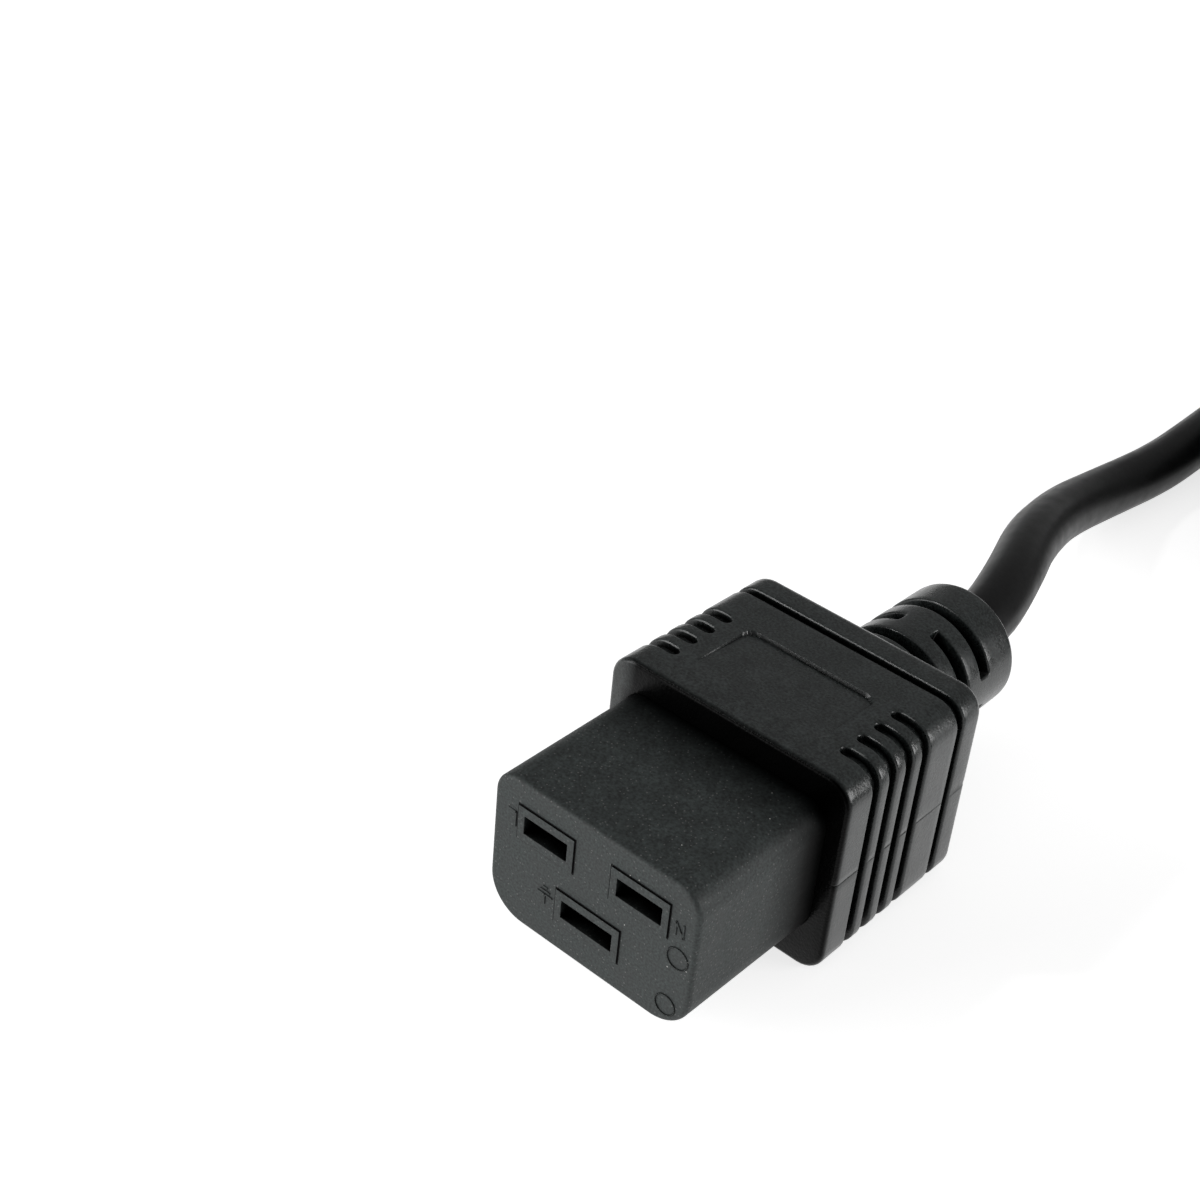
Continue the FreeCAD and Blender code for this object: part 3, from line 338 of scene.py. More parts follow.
def moulded(name, colour, roughness, gloss, grain, mottle, relief, bevel, shade=plain_shade, specks=False):
    """Black moulding: eroded grain, cloudy tone, rounded edges and painted shade from its shade function,
    darker in creases.
    """
    material, nodes, link, surface = shader(name)
    place = nodes.new("ShaderNodeTexCoord")
    cloud = noise(nodes, link, place, 2.5, 5.0)
    fine = noise(nodes, link, place, grain, 2.0)
    tone = product(
        nodes, link,
        spread(nodes, link, cloud.outputs["Fac"], 1.0 - 0.4 * mottle, 1.0 + 0.4 * mottle),
        spread(nodes, link, fine.outputs["Fac"], 1.0 - mottle, 1.0 + mottle))
    # Painted shade: it darkens the colour and the specks, which are the plastic's own.
    shadow = shade(nodes, link, place)
    last = tinted(nodes, link, colour, product(nodes, link, tone, shadow))
    if specks:
        fine_dust = product(nodes, link, shadow, dust(nodes, link, place, spacing=0.5, size=0.1, share=0.45))
        lone_dust = product(nodes, link, shadow, dust(nodes, link, place, spacing=1.2, size=0.08, share=0.12))
        last = dusted(nodes, link, last, (0.09, 0.092, 0.09, 1.0), fine_dust)
        last = dusted(nodes, link, last, (0.45, 0.45, 0.43, 1.0), lone_dust)
    link(last, surface.inputs["Base Color"])

    surface.inputs["Specular IOR Level"].default_value = gloss
    # Painted shade on the reflections: the specular tint falls with it.
    link(tinted(nodes, link, (1.0, 1.0, 1.0, 1.0), shadow), surface.inputs["Specular Tint"])
    matt = spread(nodes, link, cloud.outputs["Fac"], roughness - 0.05, roughness + 0.05)
    link(matt, surface.inputs["Roughness"])
    rounded = nodes.new("ShaderNodeBevel")
    rounded.samples = 6
    rounded.inputs["Radius"].default_value = bevel * MM
    bump = nodes.new("ShaderNodeBump")
    bump.inputs["Strength"].default_value = 0.6
    bump.inputs["Distance"].default_value = relief * MM
    link(fine.outputs["Fac"], bump.inputs["Height"])
    link(rounded.outputs["Normal"], bump.inputs["Normal"])
    link(bump.outputs["Normal"], surface.inputs["Normal"])
    return material


def metal(name, colour, roughness, grain, relief, stretch, shut):
    """Drawn metal: fine lines and a little tarnish, with painted shade that turns it black where the share of
    open air is shut or less.
    """
    material, nodes, link, surface = shader(name)
    place = nodes.new("ShaderNodeTexCoord")
    lines = nodes.new("ShaderNodeMapping")
    lines.inputs["Scale"].default_value = stretch
    link(place.outputs["Object"], lines.inputs["Vector"])
    drawn = nodes.new("ShaderNodeTexNoise")
    drawn.inputs["Scale"].default_value = 1.0 / (grain * MM)
    drawn.inputs["Detail"].default_value = 2.0
    link(lines.outputs["Vector"], drawn.inputs["Vector"])
    cloud = noise(nodes, link, place, 2.5)
    surface.inputs["Metallic"].default_value = 1.0
    tarnish = nodes.new("ShaderNodeMix")
    tarnish.data_type = "RGBA"
    tarnish.inputs["A"].default_value = colour
    tarnish.inputs["B"].default_value = tuple(0.72 * part for part in colour[:3]) + (1.0,)
    link(spread(nodes, link, cloud.outputs["Fac"], 0.0, 0.6), tarnish.inputs["Factor"])
    # Painted shade in holes and creases, on colour and reflection alike.
    shadow = creases(nodes, link, reach=4.0, black=shut, plain=0.9)
    link(tinted(nodes, link, colour, shadow, base=tarnish.outputs["Result"]), surface.inputs["Base Color"])
    matt = spread(nodes, link, drawn.outputs["Fac"], roughness - 0.06, roughness + 0.1)
    link(matt, surface.inputs["Roughness"])
    bump = nodes.new("ShaderNodeBump")
    bump.inputs["Strength"].default_value = 0.4
    bump.inputs["Distance"].default_value = relief * MM
    link(drawn.outputs["Fac"], bump.inputs["Height"])
    link(bump.outputs["Normal"], surface.inputs["Normal"])
    return material


def insulation(name, colour, stripe=None):
    """Smooth core insulation, with a stripe along it where one is given."""
    material, nodes, link, surface = shader(name)
    place = nodes.new("ShaderNodeTexCoord")
    cloud = noise(nodes, link, place, 1.5)
    band = nodes.new("ShaderNodeMix")
    band.data_type = "RGBA"
    band.inputs["A"].default_value = colour
    band.inputs["B"].default_value = stripe or tuple(0.8 * part for part in colour[:3]) + (1.0,)
    if stripe:
        waves = nodes.new("ShaderNodeTexWave")
        waves.bands_direction = "X"
        waves.inputs["Scale"].default_value = 1.0 / (9.0 * MM)
        link(place.outputs["Object"], waves.inputs["Vector"])
        edge = nodes.new("ShaderNodeMath")
        edge.operation = "GREATER_THAN"
        edge.inputs[1].default_value = 0.55
        link(waves.outputs["Fac"], edge.inputs[0])
        link(edge.outputs["Value"], band.inputs["Factor"])
    else:
        link(spread(nodes, link, cloud.outputs["Fac"], 0.0, 1.0), band.inputs["Factor"])
    link(band.outputs["Result"], surface.inputs["Base Color"])
    link(spread(nodes, link, cloud.outputs["Fac"], 0.34, 0.46), surface.inputs["Roughness"])
    return material


BLOCK_LOOK = {
    "colour": (0.0245, 0.03, 0.0292, 1.0), "roughness": 0.62, "gloss": 0.45, "grain": 0.3, "mottle": 0.6,
    "relief": 0.03, "bevel": 0.12, "specks": True,
}
MATERIALS = {
    # The contact block's plastic, with painted shade towards the grip and in creases.
    "nose_plastic_painted_shade": moulded("nose_plastic_painted_shade", shade=block_shade, **BLOCK_LOOK),
    "block_plastic": moulded("block_plastic", **BLOCK_LOOK),
    # Near-black strips for the frames' seams: real seams, drawn as painted shadow of their gaps.
    "seam_shadow_plastic": moulded(
        "seam_shadow_plastic", (0.005, 0.005, 0.005, 1.0),
        roughness=0.7, gloss=0.1, grain=0.3, mottle=0.3, relief=0.01, bevel=0.02),
    "grip_pvc": moulded(
        "grip_pvc", (0.0192, 0.0228, 0.0223, 1.0),
        roughness=0.27, gloss=0.5, grain=0.3, mottle=0.75, relief=0.05, bevel=0.05, shade=grip_shade),
    "cord_pvc": moulded(
        "cord_pvc", (0.006, 0.0061, 0.0063, 1.0),
        roughness=0.4, gloss=0.18, grain=0.5, mottle=0.3, relief=0.006, bevel=0.05),
    "tie_nylon": moulded(
        "tie_nylon", (0.02, 0.02, 0.021, 1.0),
        roughness=0.32, gloss=0.5, grain=0.4, mottle=0.2, relief=0.006, bevel=0.1),
    "contact_brass": metal(
        "contact_brass", (0.78, 0.6, 0.3, 1.0),
        roughness=0.3, grain=0.12, relief=0.006, stretch=(1.0, 0.1, 1.0), shut=0.5),
    "pin_nickel": metal(
        "pin_nickel", (0.82, 0.81, 0.78, 1.0),
        roughness=0.2, grain=0.1, relief=0.004, stretch=(1.0, 0.08, 1.0), shut=0.2),
    "copper": metal(
        "copper", (0.8, 0.4, 0.24, 1.0),
        roughness=0.34, grain=0.16, relief=0.02, stretch=(1.0, 0.12, 1.0), shut=0.2),
    "core_brown": insulation("core_brown", (0.13, 0.045, 0.016, 1.0)),
    "core_blue": insulation("core_blue", (0.016, 0.1, 0.42, 1.0)),
    "core_earth": insulation("core_earth", (0.06, 0.24, 0.03, 1.0), stripe=(0.72, 0.6, 0.03, 1.0)),
}


def dress_frame():
    """Give every CAD node the material of its record slot, and the contact block a copy of it with painted
    shade.
    """
    for part in frame["record"]["subparts"]:
        node = frame["nodes"][part["node"]]
        node.data.materials.clear()
        node.data.materials.append(MATERIALS[part["material_slot"]])
    nose = frame["nodes"]["contact_block"]
    nose.data.materials[0] = MATERIALS["nose_plastic_painted_shade"]


# ---------------------------------------------------------------- moulded grips with their boots

GROOVE_DEPTH = 0.9
GROOVE_WIDTH = 1.45
GROOVE_PITCH = 3.08
GROOVE_COUNT = 4
RING_WIDTH = 1.2
LIP = 0.3
WALL = 0.1
PANEL_START = 4.0
PANEL_LENGTH = 10.9
PANEL_CORNER = 1.6
PANEL_EDGE = 0.1
PARTING_DEPTH = 0.08
PARTING_HALF_WIDTH = 0.12
BOOT_ROOT_RADIUS = 8.4
BOOT_END_RADIUS = 8.1
BOOT_LENGTH = 22.4
BOOT_ROUND = 0.9
BOOT_SLOT_WIDTH = 1.8
BOOT_SLOT_START = 2.4
BOOT_SLOT_PITCH = 4.43
BOOT_SLOT_ROWS = 4
BOOT_SLOT_SWEEP = math.radians(148.0)
BOOT_SLOT_CORNER = 0.4
BOOT_SLEEVE_RADIUS = 5.2
BORE_RADIUS = CORD_DIAMETER / 2 + 0.05
# Stations in the bore, ahead of the boot's mouth, and the funnel from the cores' bend to the bore.
BORE_STATIONS = (0.0, 3.0, 12.0)
FUNNEL_LENGTH = 10.2
LONGEST_STEP = 0.9
SHARP_ANGLE = math.radians(38.0)

# Seats are sections inside a grip, from its front backwards: width, height, upper and lower corner, place.
C19_GRIP = {
    "node": "overmould", "front": 0.0, "rear_width": 32.6, "rear_height": 26.3, "length": 25.6, "corner": 3.2,
    "front_round": 0.6, "rear_round": 1.3, "first_groove": 5.05, "reach": 11.3, "rings": [21.05],
    "panel_half": 9.0, "panel_depth": 0.45, "bend": 11.0,
    "seats": [
        (28.4, 19.4, 3.0, 5.0, 0.0), (28.4, 19.4, 3.0, 5.0, 1.35), (30.2, 21.2, 3.9, 5.9, 1.35),
        (30.2, 21.2, 3.9, 5.9, 3.25), (28.4, 19.4, 3.0, 5.0, 3.25), (28.4, 19.4, 3.0, 5.0, 5.05),
        (26.8, 17.8, 2.2, 4.2, 5.05), (26.8, 17.8, 2.2, 4.2, 7.65), (17.6, 12.8, 3.0, 3.0, 7.65)],
}
C20_GRIP = {
    "node": "plug_overmould", "front": 0.6, "rear_width": 32.4, "rear_height": 24.8, "length": 28.0,
    "corner": 4.0, "front_round": 0.25, "rear_round": 1.3, "first_groove": 6.2, "reach": 11.0,
    "rings": [20.4, 23.4],
    "panel_half": 9.5, "panel_depth": 0.25, "bend": 16.4,
    "seats": [(25.1, 17.1, 2.0, 2.0, 0.6), (25.1, 17.1, 2.0, 2.0, 4.05), (17.6, 12.8, 3.0, 3.0, 4.05)],
}

# Places of the columns of points: across the middle, from a panel's edge, from the grooves' ends, along a
# side from its middle as shares of the half side, and round an eighth of the boot in degrees from the top.
# A half outline and a half circle are joined point by point, so both must come out with as many.
MIDDLE_COLUMNS = (0.0, 1.5, 3.0, 4.5, 6.0, 7.2)
PANEL_COLUMNS = (-1.6, -1.1, -0.7, -0.4, -0.2, -0.1, 0.0, 0.2)
GROOVE_COLUMNS = (-1.0, -0.6, -0.3, -0.2, -0.1, -0.05, 0.0, 0.05, 0.1, 0.2, 0.4, 0.65, 0.9)
SIDE_SHARES = (0.0, 0.006, 0.016, 0.1, 0.3, 0.55, 0.8, 1.0)
BOOT_EIGHTH = (
    0.0, 3.0, 6.0, 9.0, 11.5, 13.3, 14.3, 15.0, 15.5, 16.0, 16.5,
    17.2, 18.5, 20.5, 23.0, 26.0, 29.0, 32.0, 35.0, 38.0, 41.5, 45.0)
CORNER_STEPS = 8
# Columns more than this inside the first of the grooves' columns keep their place.
FIXED_MARGIN = 0.1
# Stations outside a groove's edge, over its rounded lip.
LIP_STATIONS = (0.0, 0.05, 0.12, 0.2, LIP)


def groove_shift(grip, y):
    """How far a groove's round end has drawn back at a place along the grip: nothing at its middle line."""
    half = GROOVE_WIDTH / 2
    off = min(abs(y - grip["first_groove"] - count * GROOVE_PITCH) for count in range(GROOVE_COUNT))
    return half - math.sqrt(max(0.0, half ** 2 - off ** 2))


def face_shares(grip, y, face_end):
    """Columns across half a wide face, as shares of it; those near the grooves' ends follow their round."""
    reach = grip["reach"]
    fixed = reach + GROOVE_COLUMNS[0] - FIXED_MARGIN
    shift = groove_shift(grip, y)
    columns = list(MIDDLE_COLUMNS)
    columns += [grip["panel_half"] + offset for offset in PANEL_COLUMNS]
    columns += [reach + offset for offset in GROOVE_COLUMNS]
    shares = []
    for column in columns:
        if column < reach:
            weight = max(0.0, (column - fixed) / (reach - fixed))
        else:
            weight = (face_end - column) / (face_end - reach)
        shares.append((column + shift * weight) / face_end)
    return shares + [1.0]


def half_outline(half_width, top, bottom, upper, lower, shares):
    """Right half of a rounded rectangle from its top to its bottom, as x, z and the outward direction."""
    middle = (top + bottom) / 2
    corner_turns = [math.pi / 2 * step / CORNER_STEPS for step in range(1, CORNER_STEPS + 1)]
    points = [(share * (half_width - upper), top, 0.0, 1.0) for share in shares]
    for turn in corner_turns:
        out_x, out_z = math.sin(turn), math.cos(turn)
        points.append((half_width - upper * (1 - out_x), top - upper * (1 - out_z), out_x, out_z))
    for share in SIDE_SHARES[-2::-1]:
        points.append((half_width, middle + share * (top - upper - middle), 1.0, 0.0))
    for share in SIDE_SHARES[1:]:
        points.append((half_width, middle - share * (middle - bottom - lower), 1.0, 0.0))
    for turn in corner_turns:
        out_x, out_z = math.cos(turn), -math.sin(turn)
        points.append((half_width - lower * (1 - out_x), bottom + lower * (1 + out_z), out_x, out_z))
    points += [(share * (half_width - lower), bottom, 0.0, -1.0) for share in shares[-2::-1]]
    return points


def half_circle(radius):
    """Right half of a circle from its top to its bottom, with as many points as half_outline gives."""
    quarter = list(BOOT_EIGHTH) + [90.0 - turn for turn in BOOT_EIGHTH[-2::-1]]
    turns = [math.radians(turn) for turn in quarter + [180.0 - turn for turn in quarter[-2::-1]]]
    outward = [(math.sin(turn), math.cos(turn)) for turn in turns]
    return [(radius * out_x, radius * out_z, out_x, out_z) for out_x, out_z in outward]


def whole(half):
    """Both halves of an outline, clockwise from its top."""
    return half + [(-x, z, -out_x, out_z) for x, z, out_x, out_z in half[-2:0:-1]]


def sunk(distance, depth):
    """Depth of a groove at a distance outside its edge: a rounded lip, then a steep wall."""
    if distance >= LIP:
        return 0.0
    if distance >= 0.0:
        return LIP - math.sqrt(LIP ** 2 - (LIP - distance) ** 2)
    if distance >= -WALL:
        return LIP - (depth - LIP) * distance / WALL
    return depth


def outside_box(across, along, half_across, half_along, corner):
    """Distance outside a rectangle with rounded corners, negative inside it."""
    over_across = abs(across) - half_across + corner
    over_along = abs(along) - half_along + corner
    outer = math.hypot(max(over_across, 0.0), max(over_along, 0.0))
    return outer + min(max(over_across, over_along), 0.0) - corner


def grip_sinking(grip, x, y, z, out_z):
    """How far the grip's surface lies below its plain form: grooves, panel and parting line."""
    half = GROOVE_WIDTH / 2
    depth = 0.0
    for count in range(GROOVE_COUNT):
        centre = grip["first_groove"] + count * GROOVE_PITCH
        short_of_end = max(0.0, grip["reach"] + half - abs(x))
        depth = max(depth, sunk(math.hypot(short_of_end, y - centre) - half, GROOVE_DEPTH))
    for centre in grip["rings"]:
        depth = max(depth, sunk(abs(y - centre) - RING_WIDTH / 2, GROOVE_DEPTH))
    if out_z > 0.99:
        inside = -outside_box(
            x, y - PANEL_START - PANEL_LENGTH / 2, grip["panel_half"], PANEL_LENGTH / 2, PANEL_CORNER)
        slope = min(max((y - PANEL_START) / PANEL_LENGTH, 0.0), 1.0)
        depth = max(depth, grip["panel_depth"] * slope * min(max(inside / PANEL_EDGE, 0.0), 1.0))
    if abs(out_z) < 0.01:
        depth = max(depth, PARTING_DEPTH * (1.0 - min(abs(z) / PARTING_HALF_WIDTH, 1.0)))
    return depth


def boot_sinking(turn, y, radius):
    """How deep the boot's flexing slots are at an angle from the top and a distance behind the grip."""
    depth = 0.0
    for row in range(BOOT_SLOT_ROWS):
        centre = BOOT_SLOT_START + row * BOOT_SLOT_PITCH
        quarter_turned = math.pi / 2 if row % 2 == 0 else 0.0
        towards = (turn + quarter_turned) % math.pi
        off_middle = min(towards, math.pi - towards)
        distance = outside_box(
            off_middle * radius, y - centre,
            BOOT_SLOT_SWEEP / 2 * radius, BOOT_SLOT_WIDTH / 2, BOOT_SLOT_CORNER)
        depth = max(depth, sunk(distance, radius - BOOT_SLEEVE_RADIUS))
    return depth


def groove_stations(centre, half, steps):
    """Stations across a groove: even across its floor and close together at its edges."""
    offsets = [half * step / steps for step in range(steps)]
    offsets += [half - WALL] + [half + offset for offset in LIP_STATIONS]
    return [centre + sign * offset for offset in offsets for sign in (-1, 1)]


def in_order(stations, start, end):
    """The stations between start and end in order, with even steps where two are far apart."""
    ordered = sorted({round(station, 3) for station in stations if start < station < end} | {start, end})
    filled = []
    for before, after in zip(ordered, ordered[1:]):
        steps = math.ceil((after - before) / LONGEST_STEP)
        filled += [before + (after - before) * step / steps for step in range(steps)]
    return filled + [end]


def quarter_round(radius, steps=5):
    """Pairs along a rounded edge: the distance from where it starts to curve, and how far it has drawn in."""
    turns = [math.pi / 2 * step / steps for step in range(steps + 1)]
    return [(radius * math.sin(turn), radius * (1 - math.cos(turn))) for turn in turns]


def grip_rows(grip, width, height):
    """Rows of points round the grip, from its front face over its outside to its rear face."""
    length = grip["length"]
    start = grip["front"] + grip["front_round"]
    end = length - grip["rear_round"]
    stations = [PANEL_START, PANEL_START + PANEL_LENGTH]
    stations += [PANEL_START + PANEL_LENGTH + offset for offset in PANEL_COLUMNS]
    for count in range(GROOVE_COUNT):
        stations += groove_stations(grip["first_groove"] + count * GROOVE_PITCH, GROOVE_WIDTH / 2, 5)
    for centre in grip["rings"]:
        stations += groove_stations(centre, RING_WIDTH / 2, 2)
    places = [(start - along, inset) for along, inset in quarter_round(grip["front_round"])[::-1]]
    places += [(station, 0.0) for station in in_order(stations, start, end)[1:]]
    places += [(end + along, inset) for along, inset in quarter_round(grip["rear_round"])[1:]]

    rows = []
    for y, inset in places:
        along = y / length
        half_width = (width + (grip["rear_width"] - width) * along) / 2 - inset
        top = height / 2 - (height - grip["rear_height"]) * along - inset
        corner = grip["corner"] - inset
        outline = half_outline(
            half_width, top, inset - height / 2, corner, corner, face_shares(grip, y, half_width - corner))
        points = []
        for x, z, out_x, out_z in whole(outline):
            depth = grip_sinking(grip, x, y, z, out_z)
            points.append((x - out_x * depth, y, z - out_z * depth))
        rows.append(points)
    return rows


def boot_rows(grip):
    """Rows of points from the boot's root over its slots to its mouth."""
    stations = []
    for count in range(BOOT_SLOT_ROWS):
        stations += groove_stations(BOOT_SLOT_START + count * BOOT_SLOT_PITCH, BOOT_SLOT_WIDTH / 2, 2)
    end = BOOT_LENGTH - BOOT_ROUND
    places = [(station, 0.0) for station in in_order(stations, 0.0, end)]
    places += [(end + along, inset) for along, inset in quarter_round(BOOT_ROUND)[1:]]
    rows = []
    for station, inset in places:
        radius = BOOT_ROOT_RADIUS + (BOOT_END_RADIUS - BOOT_ROOT_RADIUS) * station / BOOT_LENGTH - inset
        points = []
        for x, z, out_x, out_z in whole(half_circle(radius)):
            depth = boot_sinking(math.atan2(x, z), station, radius)
            points.append((x - out_x * depth, grip["length"] + station, z - out_z * depth))
        rows.append(points)
    return rows


def inner_rows(grip):
    """Rows of points from the boot's mouth through its bore to the seat of the rigid piece."""
    mouth = grip["length"] + BOOT_LENGTH
    rows = []
    for y in [mouth - ahead for ahead in BORE_STATIONS] + [grip["bend"] + FUNNEL_LENGTH]:
        rows.append([(x, y, z) for x, z, *_ in whole(half_circle(BORE_RADIUS))])
    last = len(MIDDLE_COLUMNS + PANEL_COLUMNS + GROOVE_COLUMNS)
    even = [step / last for step in range(last + 1)]
    for width, height, upper, lower, y in [grip["seats"][-1][:4] + (grip["bend"],)] + grip["seats"][::-1]:
        outline = half_outline(width / 2, height / 2, -height / 2, upper, lower, even)
        rows.append([(x, y, z) for x, z, *_ in whole(outline)])
    return rows


def new_piece(name, surface, slot):
    """A piece from a bmesh, with its slot's material, on the one body."""
    data = bpy.data.meshes.new(name)
    surface.to_mesh(data)
    surface.free()
    data.materials.append(MATERIALS[slot])
    piece = bpy.data.objects.new(name, data)
    bpy.context.scene.collection.objects.link(piece)
    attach(piece, "root")
    return piece


def closed_skin(rows):
    """A closed surface through rows of points: each row joins the next, and the last joins the first."""
    surface = bmesh.new()
    rings = [[surface.verts.new(point) for point in row] for row in rows]
    count = len(rings[0])
    for before, after in zip(rings, rings[1:] + rings[:1]):
        for left in range(count):
            right = (left + 1) % count
            surface.faces.new((before[left], before[right], after[right], after[left]))
    bmesh.ops.recalc_face_normals(surface, faces=surface.faces)
    return surface


def moulded_grip(name, grip, slot):
    """A soft grip and boot in one piece, in the place of its CAD node."""
    low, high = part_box(grip["node"])
    width = (high.x - low.x) / MM
    height = (high.z - low.z) / MM
    middle = (low + high) / 2
    shoulder = low.y / MM - grip["front"]
    rows = grip_rows(grip, width, height) + boot_rows(grip) + inner_rows(grip)
    placed = [
        [(middle.x + x * MM, (shoulder + y) * MM, middle.z + z * MM) for x, y, z in row]
        for row in rows]
    piece = new_piece(name, closed_skin(placed), slot)
    piece.data.shade_smooth()
    piece.data.set_sharp_from_angle(angle=SHARP_ANGLE)
    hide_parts(grip["node"])


# ---------------------------------------------------------------- marks on the mating face

FRAME_RISE = 0.2
MARK_RISE = 0.12
# How far a mark reaches into the face, and the width of its top as a share of its foot.
MARK_FOOT = 0.05
MARK_TOP = 0.55
LETTER_STROKE = 0.26
RING_STROKE = 0.12
# The frames' seams are raised dark strips: real seams, drawn as painted shadow of their gaps.
SEAM_STROKE = 0.13
SEAM_RISE = 0.03
SEAM_CLOSE = 0.06
SEAM_WIDE = 0.17
# Each pole's place from the grip's axis, x and z, and half the width of the frame round its slot.
POLES = {"line": (-6.5, 4.45, 3.93), "neutral": (6.5, 4.45, 3.93), "earth": (0.0, -3.4, 4.45)}
FRAME_HALF_HEIGHT = 2.23


def raised_bar(surface, start, end, stroke, face_y, rise=MARK_RISE):
    """A raised bar with a narrower top, between two points of the mating face given as x and z."""
    along = (Vector(end) - Vector(start)).normalized()
    across = Vector((-along.y, along.x))
    base = stroke / 2
    rings = []
    for half, y in ((base, face_y + MARK_FOOT), (base, face_y - rise / 4), (base * MARK_TOP, face_y - rise)):
        corners = [
            Vector(start) - along * half - across * half, Vector(start) - along * half + across * half,
            Vector(end) + along * half + across * half, Vector(end) + along * half - across * half]
        rings.append([surface.verts.new((corner.x * MM, y * MM, corner.y * MM)) for corner in corners])
    for lower, upper in zip(rings, rings[1:]):
        for index in range(4):
            after = (index + 1) % 4
            surface.faces.new((lower[index], lower[after], upper[after], upper[index]))
    surface.faces.new(rings[-1])
    surface.faces.new(rings[0][::-1])


def ring_strokes(radius, steps=28):
    """Short strokes round a circle."""
    turns = [2 * math.pi * step / steps for step in range(steps + 1)]
    places = [(radius * math.cos(turn), radius * math.sin(turn)) for turn in turns]
    return list(zip(places, places[1:]))


def frame_sides(half_width, half_height):
    """The four sides of the dark seam round a slot's frame, painted shadow of its gap: close to it above and
    right, wider below and left.
    """
    left, right = -half_width - SEAM_WIDE, half_width + SEAM_CLOSE
    bottom, top = -half_height - SEAM_WIDE, half_height + SEAM_CLOSE
    corners = [(left, bottom), (right, bottom), (right, top), (left, top)]
    return list(zip(corners, corners[1:] + corners[:1]))


def raised_piece(name, x, z, strokes, stroke, face_y, rise=MARK_RISE):
    """A piece of raised bars, whose strokes are given from a place on the mating face."""
    surface = bmesh.new()
    for start, end in strokes:
        raised_bar(surface, (x + start[0], z + start[1]), (x + end[0], z + end[1]), stroke, face_y, rise)
    bmesh.ops.recalc_face_normals(surface, faces=surface.faces)
    return new_piece(name, surface, "block_plastic")


def face_marks():
    """Pole marks, upside down because the earth pole is below, two ejectors' rings, and the frames' seams as
    dark strips of painted shadow.
    """
    face_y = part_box("contact_block")[0].y / MM + FRAME_RISE
    grip_low, grip_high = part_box("overmould")
    axis_z = (grip_low.z + grip_high.z) / 2 / MM
    marks = {
        "mark_line": (-11.35, 4.4, LETTER_STROKE, [((0.45, -0.9), (0.45, 0.9)), ((0.45, 0.9), (-0.5, 0.9))]),
        "mark_neutral": (11.85, 4.2, LETTER_STROKE, [
            ((-0.5, -0.8), (-0.5, 0.8)), ((-0.5, 0.8), (0.5, -0.8)), ((0.5, -0.8), (0.5, 0.8))]),
        "mark_earth": (-6.05, -3.1, LETTER_STROKE * 0.8, [
            ((0.0, -1.2), (0.0, 0.0)), ((-0.95, 0.0), (0.95, 0.0)),
            ((-0.6, 0.5), (0.6, 0.5)), ((-0.25, 1.0), (0.25, 1.0))]),
        "mark_ejector_side": (12.0, 0.35, RING_STROKE, ring_strokes(1.35)),
        "mark_ejector_corner": (11.2, -6.7, RING_STROKE, ring_strokes(1.3)),
    }
    for name, (x, z, stroke, strokes) in marks.items():
        raised_piece(name, x, axis_z + z, strokes, stroke, face_y)
    for pole, (x, z, half_width) in POLES.items():
        sides = frame_sides(half_width, FRAME_HALF_HEIGHT)
        seam = raised_piece("seam_" + pole, x, axis_z + z, sides, SEAM_STROKE, face_y, SEAM_RISE)
        seam.data.materials[0] = MATERIALS["seam_shadow_plastic"]


# ---------------------------------------------------------------- light and floor

# Strength of the sky as light and as the camera sees it, and the glow that keeps the floor white.
SKY_LIGHT = 0.27
SKY_SEEN = 1.0
FLOOR_GLOW = 0.75
FLOOR_HALF_SIDE = 2.5


def look_at(source, target):
    """Turn a lamp towards a place."""
    source.rotation_euler = (Vector(target) - source.location).to_track_quat("-Z", "Y").to_euler()


def soft_box(name, place, size, power):
    """A square area lamp aimed at the connector."""
    data = bpy.data.lights.new(name, "AREA")
    data.shape = "SQUARE"
    data.size = size
    data.energy = power
    lamp = bpy.data.objects.new(name, data)
    lamp.location = place
    bpy.context.scene.collection.objects.link(lamp)
    look_at(lamp, (0.0, 0.0, 0.01))


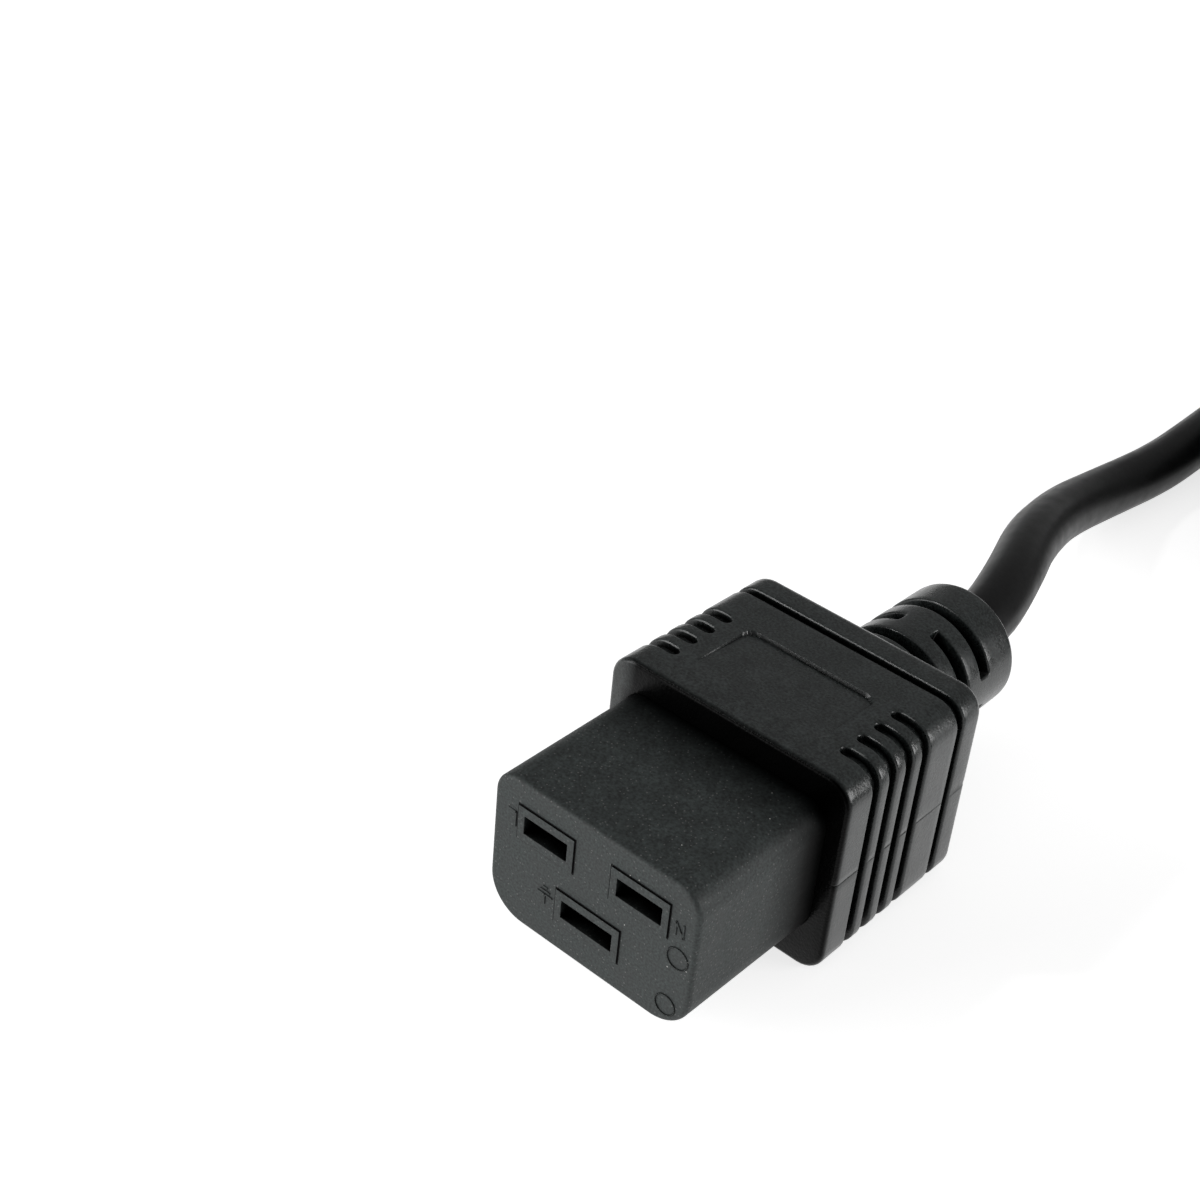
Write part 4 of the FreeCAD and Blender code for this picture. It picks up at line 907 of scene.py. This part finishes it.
def white_floor():
    """A pale floor whose own colour is white to the camera and to reflections, and that keeps the shadow."""
    data = bpy.data.meshes.new("floor")
    side = FLOOR_HALF_SIDE
    corners = [(-side, -side, 0.0), (side, -side, 0.0), (side, side, 0.0), (-side, side, 0.0)]
    data.from_pydata(corners, [], [(0, 1, 2, 3)])
    floor = bpy.data.objects.new("floor", data)
    bpy.context.scene.collection.objects.link(floor)
    material, nodes, link, surface = shader("floor_white")
    surface.inputs["Base Color"].default_value = (0.8, 0.8, 0.8, 1.0)
    surface.inputs["Roughness"].default_value = 0.9
    surface.inputs["Specular IOR Level"].default_value = 0.0
    path = nodes.new("ShaderNodeLightPath")
    seen = nodes.new("ShaderNodeMath")
    seen.operation = "MAXIMUM"
    link(path.outputs["Is Camera Ray"], seen.inputs[0])
    link(path.outputs["Is Glossy Ray"], seen.inputs[1])
    strength = nodes.new("ShaderNodeMath")
    strength.operation = "MULTIPLY"
    strength.inputs[1].default_value = FLOOR_GLOW
    link(seen.outputs["Value"], strength.inputs[0])
    surface.inputs["Emission Color"].default_value = (1.0, 1.0, 1.0, 1.0)
    link(strength.outputs["Value"], surface.inputs["Emission Strength"])
    data.materials.append(material)


def soft_studio():
    """A white sky that lights less than it shows, two soft boxes and a small lamp for the edges."""
    world = bpy.data.worlds.new("studio")
    bpy.context.scene.world = world
    world.use_nodes = True
    nodes = world.node_tree.nodes
    sky = nodes["Background"]
    sky.inputs["Color"].default_value = (1.0, 1.0, 1.0, 1.0)
    rays = nodes.new("ShaderNodeLightPath")
    level = nodes.new("ShaderNodeMapRange")
    level.inputs["To Min"].default_value = SKY_LIGHT
    level.inputs["To Max"].default_value = SKY_SEEN
    world.node_tree.links.new(rays.outputs["Is Camera Ray"], level.inputs["Value"])
    world.node_tree.links.new(level.outputs["Result"], sky.inputs["Strength"])
    soft_box("front_light", (-0.5, -0.8, 0.22), size=0.5, power=5.2)
    soft_box("side_light", (0.9, 0.45, 0.25), size=0.5, power=5.6)
    soft_box("edge_light", (-0.5, -0.55, 0.62), size=0.06, power=1.3)


# ---------------------------------------------------------------- scene

bpy.context.scene.view_settings.view_transform = "Standard"
add_camera()
white_floor()
soft_studio()
dress_frame()
moulded_grip("grip_moulding", C19_GRIP, "grip_pvc")
moulded_grip("plug_grip_moulding", C20_GRIP, "grip_pvc")
face_marks()
cord = add_cord()
cord.data.materials.append(MATERIALS["cord_pvc"])
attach(cord, "root")
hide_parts("cord_lead", "cord_coil", "cord_tail")
